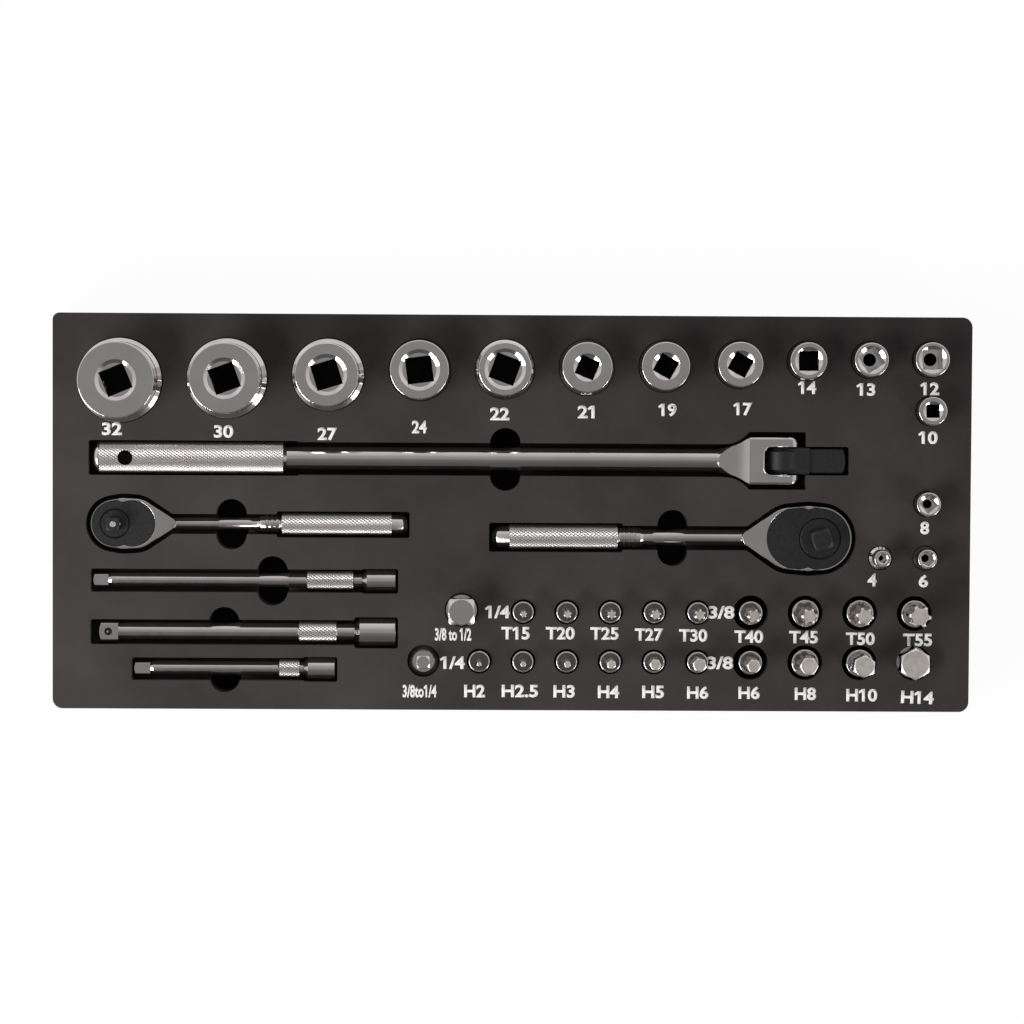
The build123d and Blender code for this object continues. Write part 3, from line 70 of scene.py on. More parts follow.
# Printed marks: text, the piece it belongs to, its centre from that piece's centre, and its width, all in
# millimetres
MARKS = (
    ("32", "socket_32", -3.8, -24.3, 10.0),
    ("30", "socket_30", -1.7, -26.4, 9.7),
    ("27", "socket_27", -0.3, -29.4, 9.7),
    ("24", "socket_24", -0.1, -28.3, 7.5),
    ("22", "socket_22", -2.4, -22.2, 9.7),
    ("21", "socket_21", -0.1, -22.0, 8.5),
    ("19", "socket_19", 1.5, -21.7, 9.2),
    ("17", "socket_17", 2.1, -22.1, 9.5),
    ("14", "socket_14", 0.2, -13.2, 9.2),
    ("13", "socket_13", -1.7, -14.7, 9.5),
    ("12", "socket_12", 0.0, -14.5, 9.5),
    ("10", "socket_10", -1.1, -13.3, 9.7),
    ("8", "socket_8", -0.6, -12.1, 4.5),
    ("6", "socket_6", -0.6, -11.4, 4.7),
    ("4", "socket_4", -4.0, -11.0, 4.7),
    ("3/8 to 1/2", "adaptor_three_eighths_to_half", -4.1, -12.2, 18.2),
    ("1/4", "bit_t15", -12.8, -0.1, 12.5),
    ("T15", "bit_t15", -3.7, -10.7, 14.2),
    ("T20", "bit_t20", -3.2, -10.6, 14.5),
    ("T25", "bit_t25", -2.9, -10.6, 14.2),
    ("T27", "bit_t27", -2.5, -11.1, 14.2),
    ("T30", "bit_t30", -2.2, -11.4, 14.2),
    ("3/8", "bit_t40", -14.5, 0.2, 13.0),
    ("T40", "bit_t40", -0.8, -11.9, 14.5),
    ("T45", "bit_t45", -0.7, -12.0, 14.5),
    ("T50", "bit_t50", 0.4, -12.7, 14.5),
    ("T55", "bit_t55", 1.8, -13.2, 14.5),
    ("3/8to1/4", "adaptor_three_eighths_to_quarter", -1.8, -15.1, 16.9),
    ("1/4", "bit_h2", -13.4, -0.8, 12.5),
    ("H2", "bit_h2", -2.2, -14.9, 10.5),
    ("H2.5", "bit_h2_5", -1.4, -14.8, 18.2),
    ("H3", "bit_h3", -1.1, -14.9, 10.7),
    ("H4", "bit_h4", -0.7, -15.0, 10.7),
    ("H5", "bit_h5", -0.2, -15.0, 11.0),
    ("H6", "bit_h6_quarter", 0.3, -15.2, 10.7),
    ("3/8", "bit_h6_three_eighths", -15.0, -0.3, 13.0),
    ("H6", "bit_h6_three_eighths", -0.4, -15.2, 10.7),
    ("H8", "bit_h8", 0.5, -15.6, 10.7),
    ("H10", "bit_h10", 1.4, -16.2, 15.5),
    ("H14", "bit_h14", 2.0, -17.2, 16.4),
)
# Marks printed a little askew, and by how many degrees
ASKEW = {"H14": -2.0}
MILLIMETRE = 0.001

# The knurled collars of the extension bars: start and end from the bar's socket end, radius, diamonds around
COLLARS = {
    "extension_quarter_long": (0.0444, 0.0214, 0.0044, 22),
    "extension_three_eighths": (0.0483, 0.0298, 0.0049, 24),
    "extension_quarter_short": (0.0280, 0.0180, 0.0043, 22),
}

# The ratchets' handles, along X from the drive axis: the grip's start, end and radius, the start and radius
# of the stretch with the rings, the diamonds around the grip, and the way the handle points
HANDLES = {
    "ratchet_quarter": (0.0832, 0.1378, 0.00525, 0.0735, 0.00425, 24, 1),
    "ratchet_three_eighths": (0.1012, 0.1552, 0.0060, 0.0905, 0.00515, 28, -1),
}

# The section of the polished round end of the breaker bar's grip: distance from the end, and radius
GRIP_END_SECTION = (
    (0.0002, 0.0042), (0.0002, 0.0056), (0.0005, 0.0066), (0.0010, 0.0073), (0.0017, 0.0078),
    (0.0026, 0.0081), (0.0030, 0.0081), (0.0038, 0.0076),
)

# The flag of a printed 1: its corners, out from the bar in bar widths, and down from the top in bar heights
FLAG = ((0.0, 0.01), (0.0, 0.25), (0.85, 0.36), (1.1, 0.20))


class TrayLooks(bpy.types.PropertyGroup):
    """Sizes and colours of the tray's finish."""

    foam_dark: bpy.props.FloatVectorProperty(
        name="Foam, dark", description="Darker patches of the foam", subtype="COLOR", size=3,
        default=(0.019, 0.0163, 0.0158), min=0.0, max=1.0,
    )
    foam_light: bpy.props.FloatVectorProperty(
        name="Foam, light", description="Lighter patches of the foam", subtype="COLOR", size=3,
        default=(0.051, 0.0440, 0.0428), min=0.0, max=1.0,
    )
    ink: bpy.props.FloatVectorProperty(
        name="Ink", description="Printed size marks", subtype="COLOR", size=3,
        default=(0.93, 0.92, 0.91), min=0.0, max=1.0,
    )
    chrome: bpy.props.FloatVectorProperty(
        name="Chrome", description="Polished plate of the tools", subtype="COLOR", size=3,
        default=(0.63, 0.60, 0.595), min=0.0, max=1.0,
    )
    bit_steel: bpy.props.FloatVectorProperty(
        name="Bit steel", description="Satin steel of the bits", subtype="COLOR", size=3,
        default=(0.82, 0.77, 0.72), min=0.0, max=1.0,
    )
    black: bpy.props.FloatVectorProperty(
        name="Black finish", description="Black finish of the drive heads and cover plates",
        subtype="COLOR", size=3, default=(0.0075, 0.0073, 0.0073), min=0.0, max=1.0,
    )
    # painted shade: the knurl's plate is darker than the chrome, standing in for the shade among the
    # diamonds; its duller polish is in the roughness
    knurl: bpy.props.FloatVectorProperty(
        name="Knurl", description="Plate on the knurled grips, duller than the polished steel",
        subtype="COLOR", size=3, default=(0.52, 0.495, 0.49), min=0.0, max=1.0,
    )
    mark_height: bpy.props.FloatProperty(
        name="Mark height", description="Height of the printed figures", subtype="DISTANCE", default=0.0064,
        min=0.002, max=0.02,
    )
    mark_thickness: bpy.props.FloatProperty(
        name="Ink thickness", description="How far the ink stands over the foam", subtype="DISTANCE",
        default=0.00012, min=0.00002, max=0.001,
    )
    mark_weight: bpy.props.FloatProperty(
        name="Mark weight", description="How far the figures' strokes are fattened, for a 10 mm letter",
        subtype="DISTANCE", default=0.00034, min=0.0, max=0.001,
    )
    knurl_pitch: bpy.props.FloatProperty(
        name="Knurl pitch", description="Length of one diamond along a grip", subtype="DISTANCE",
        default=0.0021, min=0.001, max=0.005,
    )
    knurl_depth: bpy.props.FloatProperty(
        name="Knurl depth", description="Height of the diamonds over their valleys", subtype="DISTANCE",
        default=0.0004, min=0.00005, max=0.001,
    )


class StageLooks(bpy.types.PropertyGroup):
    """Lights, floor and camera."""

    key_power: bpy.props.FloatProperty(
        name="Key light", description="Power of the large light at the lower left", unit="POWER",
        default=16.0, min=0.0, max=500.0,
    )
    fill_power: bpy.props.FloatProperty(
        name="Fill light", description="Power of the light at the lower right", unit="POWER", default=9.0,
        min=0.0, max=500.0,
    )
    floor_half: bpy.props.FloatProperty(
        name="Floor size", description="Half the side of the floor", subtype="DISTANCE", default=12.0,
        min=1.0, max=100.0,
    )
    focal_length: bpy.props.FloatProperty(
        name="Lens", description="Focal length on a 36 mm wide sensor", unit="CAMERA", default=113.7,
        min=10.0, max=500.0,
    )


def new_material(name):
    """A material with a Principled shader, its node tree, the shader, and the piece's own coordinates."""
    material = bpy.data.materials.new(name)
    material.use_nodes = True
    tree = material.node_tree
    shader = tree.nodes["Principled BSDF"]
    place = tree.nodes.new("ShaderNodeTexCoord")
    return material, tree, shader, place.outputs["Object"]


def noise(tree, place, scale, detail=3.0, roughness=0.5):
    """A noise pattern in the piece's coordinates; its Fac output."""
    pattern = tree.nodes.new("ShaderNodeTexNoise")
    pattern.inputs["Scale"].default_value = scale
    pattern.inputs["Detail"].default_value = detail
    pattern.inputs["Roughness"].default_value = roughness
    tree.links.new(place, pattern.inputs["Vector"])
    return pattern.outputs["Fac"]


def spread(tree, value, low, high, to_low, to_high, way="LINEAR"):
    """A value spread from one range to another, evenly or in another of the node's ways."""
    scaled = tree.nodes.new("ShaderNodeMapRange")
    scaled.interpolation_type = way
    for name, number in zip(("From Min", "From Max", "To Min", "To Max"), (low, high, to_low, to_high)):
        scaled.inputs[name].default_value = number
    tree.links.new(value, scaled.inputs["Value"])
    return scaled.outputs["Result"]


def worked_out(tree, operation, *values):
    """A sum, a product or the like of values that are sockets or plain numbers."""
    working = tree.nodes.new("ShaderNodeMath")
    working.operation = operation
    for value, socket in zip(values, working.inputs):
        if isinstance(value, float):
            socket.default_value = value
        else:
            tree.links.new(value, socket)
    return working.outputs["Value"]


def two_tone(tree, value, low_colour, high_colour, low=0.35, high=0.65):
    """A colour between two tones, by a pattern's value."""
    ramp = tree.nodes.new("ShaderNodeValToRGB")
    ramp.color_ramp.elements[0].position = low
    ramp.color_ramp.elements[1].position = high
    ramp.color_ramp.elements[0].color = (*low_colour, 1.0)
    ramp.color_ramp.elements[1].color = (*high_colour, 1.0)
    tree.links.new(value, ramp.inputs["Fac"])
    return ramp.outputs["Color"]


def bump(tree, value, distance, strength=1.0, under=None):
    """A bump of the given height, over another one if given."""
    relief = tree.nodes.new("ShaderNodeBump")
    relief.inputs["Strength"].default_value = strength
    relief.inputs["Distance"].default_value = distance
    tree.links.new(value, relief.inputs["Height"])
    if under is not None:
        tree.links.new(under, relief.inputs["Normal"])
    return relief.outputs["Normal"]


def foam_material(name, looks, shade=1.0):
    """Closed-cell foam: cloudy charcoal with painted shade, darker to the far and right edges where the
    light falls off, fine-grained and dull.
    """
    material, tree, shader, place = new_material(name)
    split = tree.nodes.new("ShaderNodeSeparateXYZ")
    tree.links.new(place, split.inputs["Vector"])
    half_length, half_width = cad_box[1].x, cad_box[1].y
    # painted light and shade: lighter at the left end, darker at the right end and along the far edge, as
    # the light falls off from the lower left
    painted_shade_falloff = worked_out(
        tree, "ADD",
        spread(tree, split.outputs["X"], -half_length, half_length, 0.10, -0.12),
        spread(tree, split.outputs["Y"], half_width * 0.6, half_width, 0.0, -0.3),
    )
    clouds_and_painted_shade = worked_out(tree, "ADD", noise(tree, place, 18.0, 5.0, 0.6), painted_shade_falloff)
    dark = [channel * shade for channel in looks.foam_dark]
    light = [channel * shade for channel in looks.foam_light]
    tree.links.new(two_tone(tree, clouds_and_painted_shade, dark, light, 0.15, 0.75), shader.inputs["Base Color"])
    cells = noise(tree, place, 2200.0, 2.0, 0.6)
    tree.links.new(spread(tree, cells, 0.3, 0.7, 0.72, 0.92), shader.inputs["Roughness"])
    broad = bump(tree, noise(tree, place, 90.0, 3.0), 0.0004, 0.35)
    tree.links.new(bump(tree, cells, 0.00008, 0.6, broad), shader.inputs["Normal"])
    shader.inputs["Specular IOR Level"].default_value = 0.28
    return material


def ink_material(looks):
    """Screen-printed white ink, a little uneven where the foam's cells show through."""
    material, tree, shader, place = new_material("printed_ink")
    cells = noise(tree, place, 1400.0, 3.0, 0.6)
    worn = [channel * 0.86 for channel in looks.ink]
    tree.links.new(two_tone(tree, cells, worn, looks.ink, 0.3, 0.5), shader.inputs["Base Color"])
    shader.inputs["Roughness"].default_value = 0.6
    tree.links.new(bump(tree, cells, 0.00004, 0.5), shader.inputs["Normal"])
    return material


def plated_metal(name, colour, smooth, rough, ripple=0.00003, smudge=0.93):
    """Plated steel: smudges of two tones, uneven polish and a faint ripple in its reflections."""
    material, tree, shader, place = new_material(name)
    smudges = noise(tree, place, 55.0, 4.0, 0.55)
    dull = [channel * smudge for channel in colour]
    tree.links.new(two_tone(tree, smudges, dull, colour), shader.inputs["Base Color"])
    grain = noise(tree, place, 260.0, 4.0, 0.6)
    tree.links.new(spread(tree, grain, 0.3, 0.7, smooth, rough), shader.inputs["Roughness"])
    tree.links.new(bump(tree, noise(tree, place, 140.0, 2.0), ripple, 0.35), shader.inputs["Normal"])
    shader.inputs["Metallic"].default_value = 1.0
    return material


def black_finish(looks):
    """Black oxide on steel, satin, with a fine grain."""
    material, tree, shader, place = new_material("black_oxide")
    grain = noise(tree, place, 900.0, 3.0, 0.6)
    lighter = [channel * 1.8 for channel in looks.black]
    tree.links.new(two_tone(tree, grain, looks.black, lighter), shader.inputs["Base Color"])
    tree.links.new(spread(tree, grain, 0.3, 0.7, 0.38, 0.52), shader.inputs["Roughness"])
    tree.links.new(bump(tree, grain, 0.00002, 0.4), shader.inputs["Normal"])
    shader.inputs["Specular IOR Level"].default_value = 0.4
    return material


def knurl_plate(name, looks):
    """Plate over cut diamonds: it scatters the light more than a polished face does."""
    # its darker colour is painted shade among the diamonds
    return plated_metal(name, looks.knurl, 0.32, 0.40)


def finish(name, *materials):
    """Give a CAD node its materials and return its mesh."""
    mesh = nodes[name].data
    mesh.materials.clear()
    for material in materials:
        mesh.materials.append(material)
    return mesh


def soften(name, width):
    """Round a node's sharp edges a little, so that they catch the light."""
    join_faces = nodes[name].modifiers.new("join_faces", "WELD")
    join_faces.merge_threshold = 0.000002
    round_edges = nodes[name].modifiers.new("round_edges", "BEVEL")
    round_edges.use_clamp_overlap = False
    round_edges.width = width
    round_edges.segments = 2
    round_edges.limit_method = "ANGLE"
    round_edges.angle_limit = math.radians(38)
    round_edges.harden_normals = True


def middle(name):
    """The centre of a node's box."""
    low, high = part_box(name)
    return (low + high) / 2


def link_piece(name, mesh, body, slot, *materials):
    """Put a new mesh in the scene as a piece that rides on a body."""
    piece = bpy.data.objects.new(name, mesh)
    bpy.context.scene.collection.objects.link(piece)
    for material in materials:
        mesh.materials.append(material)
    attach(piece, body)
    return piece


def closed_mesh(name, shape):
    """The mesh of a finished closed shape, with its faces turned outwards."""
    bmesh.ops.recalc_face_normals(shape, faces=shape.faces)
    mesh = bpy.data.meshes.new(name)
    shape.to_mesh(mesh)
    shape.free()
    return mesh


def wall(shape, near, far):
    """A closed wall of four-sided faces between two rings of as many points."""
    for i in range(len(near)):
        j = (i + 1) % len(near)
        shape.faces.new((near[i], near[j], far[j], far[i]))


def knurled_sleeve(name, start, end, axis_y, axis_z, radius, looks, around):
    """A closed sleeve along X cut into diamonds outside, its inside just under the grip's surface."""
    clear, sunk = 0.00003, 0.0002
    steps = 2 * around
    rows = max(4, round((end - start) / looks.knurl_pitch * 2))
    rows += rows % 2
    valley = radius + clear
    peak = valley + looks.knurl_depth
    inner = radius - sunk
    shape = bmesh.new()

    def ring(x, radii):
        return [
            shape.verts.new((
                x,
                axis_y + radii[i % len(radii)] * math.cos(math.pi * i / around),
                axis_z + radii[i % len(radii)] * math.sin(math.pi * i / around),
            ))
            for i in range(steps)
        ]

    inside_start = ring(start, (inner,))
    outside = []
    for row in range(rows + 1):
        radii = (peak, valley) if row % 2 == 0 else (valley, peak)
        outside.append(ring(start + (end - start) * row / rows, radii))
    inside_end = ring(end, (inner,))
    for row in range(rows + 1):
        for i in range(row % 2, steps, 2):
            apex = outside[row][i]
            left, right = outside[row][i - 1], outside[row][(i + 1) % steps]
            if row:
                below = outside[row - 1][i]
                shape.faces.new((apex, left, below))
                shape.faces.new((apex, below, right))
            if row < rows:
                above = outside[row + 1][i]
                shape.faces.new((apex, above, left))
                shape.faces.new((apex, right, above))
    for near, far in ((inside_start, outside[0]), (outside[-1], inside_end), (inside_end, inside_start)):
        wall(shape, near, far)
    return closed_mesh(name, shape)


def turned_band(name, profile, axis_y, axis_z, segments=72):
    """A closed band about an axis along X, from (x, radius) points that go round its section."""
    shape = bmesh.new()
    rings = [
        [
            shape.verts.new((
                x,
                axis_y + radius * math.cos(2 * math.pi * i / segments),
                axis_z + radius * math.sin(2 * math.pi * i / segments),
            ))
            for i in range(segments)
        ]
        for x, radius in profile
    ]
    for near, far in zip(rings, rings[1:] + rings[:1]):
        wall(shape, near, far)
    mesh = closed_mesh(name, shape)
    for polygon in mesh.polygons:
        polygon.use_smooth = True
    mesh.set_sharp_from_angle(angle=math.radians(35))
    return mesh


def bead(name, path, level, radius, sides=10):
    """A closed round bead along an open path of (x, y) points at one level."""
    shape = bmesh.new()
    points = [Vector(point) for point in path]
    rings = []
    for i, point in enumerate(points):
        along = (points[min(i + 1, len(points) - 1)] - points[max(i - 1, 0)]).normalized()
        aside = Vector((-along.y, along.x))
        rings.append([
            shape.verts.new((
                *(point + aside * radius * math.cos(2 * math.pi * side / sides)),
                level + radius * math.sin(2 * math.pi * side / sides),
            ))
            for side in range(sides)
        ])
    for near, far in zip(rings, rings[1:]):
        wall(shape, near, far)
    shape.faces.new(rings[0])
    shape.faces.new(rings[-1])
    mesh = closed_mesh(name, shape)
    for polygon in mesh.polygons:
        polygon.use_smooth = len(polygon.vertices) == 4
    return mesh


def made_mesh(carrier):
    """The mesh that an object has once its curve or its modifiers are worked out."""
    bpy.context.scene.collection.objects.link(carrier)
    bpy.context.view_layer.update()
    return bpy.data.meshes.new_from_object(carrier.evaluated_get(bpy.context.evaluated_depsgraph_get()))


def cut_by_rod(mesh, centre, radius, reach):
    """Cut an upright round hole through a closed mesh."""
    rod = bmesh.new()
    bmesh.ops.create_cone(
        rod, cap_ends=True, segments=64, radius1=radius, radius2=radius, depth=2 * reach,
        matrix=Matrix.Translation(centre),
    )
    rod_mesh = bpy.data.meshes.new("hole_tool")
    rod.to_mesh(rod_mesh)
    rod.free()
    tool = bpy.data.objects.new("hole_tool", rod_mesh)
    bpy.context.scene.collection.objects.link(tool)
    carrier = bpy.data.objects.new("hole_carrier", mesh)
    cut = carrier.modifiers.new("hole", "BOOLEAN")
    cut.operation = "DIFFERENCE"
    cut.solver = "EXACT"
    cut.object = tool
    result = made_mesh(carrier)
    for item in (tool, carrier):
        bpy.data.objects.remove(item)
    bpy.data.meshes.remove(rod_mesh)
    return result


def flag_ones(shape, text):
    """Give every 1 the short slanted flag of the print: the built-in figure is a plain upright bar."""
    seen, bars, slimmest = set(), [], 0.3
    for start in shape.verts:
        if start in seen:
            continue
        seen.add(start)
        figure = [start]
        for vertex in figure:
            for edge in vertex.link_edges:
                other = edge.other_vert(vertex)
                if other not in seen:
                    seen.add(other)
                    figure.append(other)
        xs = [vertex.co.x for vertex in figure]
        ys = [vertex.co.y for vertex in figure]
        wide, tall = max(xs) - min(xs), max(ys) - min(ys)
        if len(figure) == 4 and wide < slimmest * tall:
            bars.append((min(xs), max(ys), wide, tall))
    if len(bars) != text.count("1"):
        raise RuntimeError(f"{len(bars)} bars found in the mark {text}")
    for left, top, wide, tall in bars:
        shape.faces.new([shape.verts.new((left - wide * out, top - tall * down, 0.0)) for out, down in FLAG])


def printed_mark(number, text, node, across, along, width, looks, ink):
    """One printed mark: flat figures a little over the foam, fitted to its measured width and height."""
    curve = bpy.data.curves.new(f"mark_{number}", "FONT")
    curve.body = text
    curve.size = 0.01
    curve.offset = looks.mark_weight
    curve.resolution_u = 6
    letters = bpy.data.objects.new(f"mark_{number}", curve)
    mesh = made_mesh(letters)
    bpy.data.objects.remove(letters)
    bpy.data.curves.remove(curve)
    shape = bmesh.new()
    shape.from_mesh(mesh)
    bmesh.ops.remove_doubles(shape, verts=shape.verts, dist=1e-7)
    flag_ones(shape, text)
    xs = [vertex.co.x for vertex in shape.verts]
    ys = [vertex.co.y for vertex in shape.verts]
    stretch_x, stretch_y = width * MILLIMETRE / (max(xs) - min(xs)), looks.mark_height / (max(ys) - min(ys))
    middle_x, middle_y = (max(xs) + min(xs)) / 2, (max(ys) + min(ys)) / 2
    foam_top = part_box("foam_block")[1].z
    place = middle(node).xy + Vector((across, along)) * MILLIMETRE
    turn = Matrix.Rotation(math.radians(ASKEW.get(text, 0.0)), 2)
    for vertex in shape.verts:
        flat = Vector(((vertex.co.x - middle_x) * stretch_x, (vertex.co.y - middle_y) * stretch_y))
        vertex.co = (*(place + turn @ flat), foam_top)
    sheet = bmesh.ops.extrude_face_region(shape, geom=list(shape.faces))
    for item in sheet["geom"]:
        if isinstance(item, bmesh.types.BMVert):
            item.co.z += looks.mark_thickness
    bmesh.ops.recalc_face_normals(shape, faces=shape.faces)
    shape.to_mesh(mesh)
    shape.free()
    mesh.materials.clear()
    link_piece(f"mark_{number}", mesh, "tray", "foam", ink)


class TRAY_OT_foam(bpy.types.Operator):
    """Give the foam block and the sheet under it their finish"""

    bl_idname = "tray.foam"
    bl_label = "Foam"

    def execute(self, context):
        looks = context.scene.tray_looks
        finish("foam_block", foam_material("foam", looks))
        finish("foam_base", foam_material("foam_sheet", looks, 0.6))
        return {"FINISHED"}


class TRAY_OT_size_marks(bpy.types.Operator):
    """Print the size marks on the foam"""

    bl_idname = "tray.size_marks"
    bl_label = "Size marks"

    def execute(self, context):
        looks = context.scene.tray_looks
        ink = ink_material(looks)
        for number, (text, node, across, along, width) in enumerate(MARKS):
            printed_mark(number, text, node, across, along, width, looks, ink)
        return {"FINISHED"}


class TRAY_OT_sockets(bpy.types.Operator):
    """Plate the sockets with polished chrome"""

    bl_idname = "tray.sockets"
    bl_label = "Sockets"

    def execute(self, context):
        chrome = plated_metal("socket_chrome", context.scene.tray_looks.chrome, 0.05, 0.12)
        for name in SOCKETS:
            finish(name, chrome)
        return {"FINISHED"}


class TRAY_OT_bit_sockets(bpy.types.Operator):
    """Plate the bit holders, give the cups in their noses painted shade, and leave their bits in satin steel
    """

    bl_idname = "tray.bit_sockets"
    bl_label = "Bit sockets"

    def execute(self, context):
        looks = context.scene.tray_looks
        chrome = plated_metal("bit_holder_chrome", looks.chrome, 0.12, 0.22)
        steel = plated_metal("bit_steel", looks.bit_steel, 0.34, 0.48, 0.00004, 0.85)
        # painted shade: a darkened copy of the chrome for the floor of the cup in each holder's nose,
        # standing in for the shade in that recess
        cup_painted_shade_colour = [channel * 0.28 for channel in looks.chrome]
        inside = plated_metal("cup_chrome_painted_shade", cup_painted_shade_colour, 0.12, 0.22)
        # the cup in the nose: how far its floor may lie under the rim, its width beside the rim at most, and
        # how level a face of its floor is at least
        cup_deepest, cup_shallowest, cup_share, level_enough = 0.0045, 0.0012, 0.8, 0.9
        rim_band, clear = 0.001, 0.00005
        for name in BITS:
            mesh = finish(name, chrome, steel, inside)
            axis = middle(name).xy
            # the holder is the node's widest stretch, and the bit is all that stands over its nose
            widest = max((vertex.co.xy - axis).length for vertex in mesh.vertices)
            share = 0.95 if name == "bit_h14" else 0.62
            nose_top = max(
                vertex.co.z for vertex in mesh.vertices if (vertex.co.xy - axis).length > widest * share
            )
            nose = [vertex for vertex in mesh.vertices if abs(vertex.co.z - nose_top) < rim_band]
            rim = max((vertex.co.xy - axis).length for vertex in nose)
            for polygon in mesh.polygons:
                under = nose_top - polygon.center.z
                if under < -clear:
                    polygon.material_index = 1
                # painted shade on the flat floor of the cup
                elif cup_shallowest < under < cup_deepest and polygon.normal.z > level_enough:
                    if (polygon.center.xy - axis).length < rim * cup_share:
                        polygon.material_index = 2
        return {"FINISHED"}


class TRAY_OT_adaptors(bpy.types.Operator):
    """Finish the two drive adaptors"""

    bl_idname = "tray.adaptors"
    bl_label = "Adaptors"

    def execute(self, context):
        chrome = plated_metal("adaptor_chrome", context.scene.tray_looks.chrome, 0.12, 0.22)
        for name in ADAPTORS:
            finish(name, chrome)
        return {"FINISHED"}


class TRAY_OT_extensions(bpy.types.Operator):
    """Finish the extension bars and knurl their collars"""

    bl_idname = "tray.extensions"
    bl_label = "Extension bars"

    def execute(self, context):
        looks = context.scene.tray_looks
        chrome = plated_metal("extension_chrome", looks.chrome, 0.09, 0.18)
        ball_inset, ball_reach, level = 0.0038, 0.0026, 0.98
        rough_plate = knurl_plate("extension_knurl_plate", looks)
        black = black_finish(looks)
        for name in EXTENSIONS:
            mesh = finish(name, chrome, black)
            low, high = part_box(name)
            centre = middle(name)
            if name == "extension_three_eighths":
                # its detent ball faces up; the ball's faces get the black finish as painted shade, for the
                # dark of the hole it sits in
                ball = Vector((low.x + ball_inset, centre.y))
                for polygon in mesh.polygons:
                    near = (polygon.center.xy - ball).length < ball_reach
                    if near and 0.0 < abs(polygon.normal.z) < level:
                        polygon.material_index = 1
            start, end, radius, around = COLLARS[name]
            mesh = knurled_sleeve(
                name + "_knurl", high.x - start, high.x - end, centre.y, centre.z, radius, looks, around
            )
            link_piece(name + "_knurl", mesh, name, "chrome", rough_plate)
        return {"FINISHED"}


class TRAY_OT_breaker_bar(bpy.types.Operator):
    """Finish the breaker bar, knurl its grip and blacken its drive head"""

    bl_idname = "tray.breaker_bar"
    bl_label = "Breaker bar"

    def execute(self, context):
        looks = context.scene.tray_looks
        chrome = plated_metal("bar_chrome", looks.chrome, 0.07, 0.15, 0.00005)
        finish("bar_handle", chrome)
        finish("bar_hinge_pin", chrome)
        finish("bar_drive_head", black_finish(looks))
        finish("bar_detent_ball", plated_metal("ball_steel", looks.chrome, 0.15, 0.25))
        low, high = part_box("bar_handle")
        pin = middle("bar_hinge_pin")
        grip_radius, grip_start, grip_end, hole_inset, hole_radius = 0.0078, 0.0026, 0.0945, 0.0162, 0.00375
        profile = [(low.x + inset, radius) for inset, radius in GRIP_END_SECTION]
        round_end = turned_band("bar_grip_end", profile, pin.y, pin.z)
        link_piece("bar_grip_end", round_end, "breaker_bar", "chrome", chrome)
        mesh = knurled_sleeve(
            "bar_grip_knurl", low.x + grip_start, low.x + grip_end, pin.y, pin.z, grip_radius, looks, 36
        )
        mesh = cut_by_rod(mesh, Vector((low.x + hole_inset, pin.y, pin.z)), hole_radius, 2 * grip_radius)
        mesh.materials.clear()
        link_piece("bar_grip_knurl", mesh, "breaker_bar", "chrome", knurl_plate("bar_knurl_plate", looks))
        # the rounded rim of the fork's slot
        slot_half, slot_depth, slot_corner, tip_length = 0.0071, 0.0172, 0.0035, 0.0045
        half_thickness, rim, sunk, bend_steps = 0.0092, 0.00035, 0.0002, 8
        corner = Vector((high.x - slot_depth + slot_corner, slot_half - slot_corner))
        angles = [math.pi / 2 * i / bend_steps for i in range(bend_steps + 1)]
        bend = [corner + (slot_corner + sunk) * Vector((-math.sin(a), math.cos(a))) for a in angles]
        upper = [Vector((high.x - tip_length, slot_half + sunk)), *bend]
        lower = [Vector((point.x, -point.y)) for point in reversed(upper)]
        path = [(point.x, pin.y + point.y) for point in upper + lower]
        mesh = bead("bar_slot_rim", path, pin.z + half_thickness - sunk, rim)
        link_piece("bar_slot_rim", mesh, "breaker_bar", "chrome", chrome)
        return {"FINISHED"}


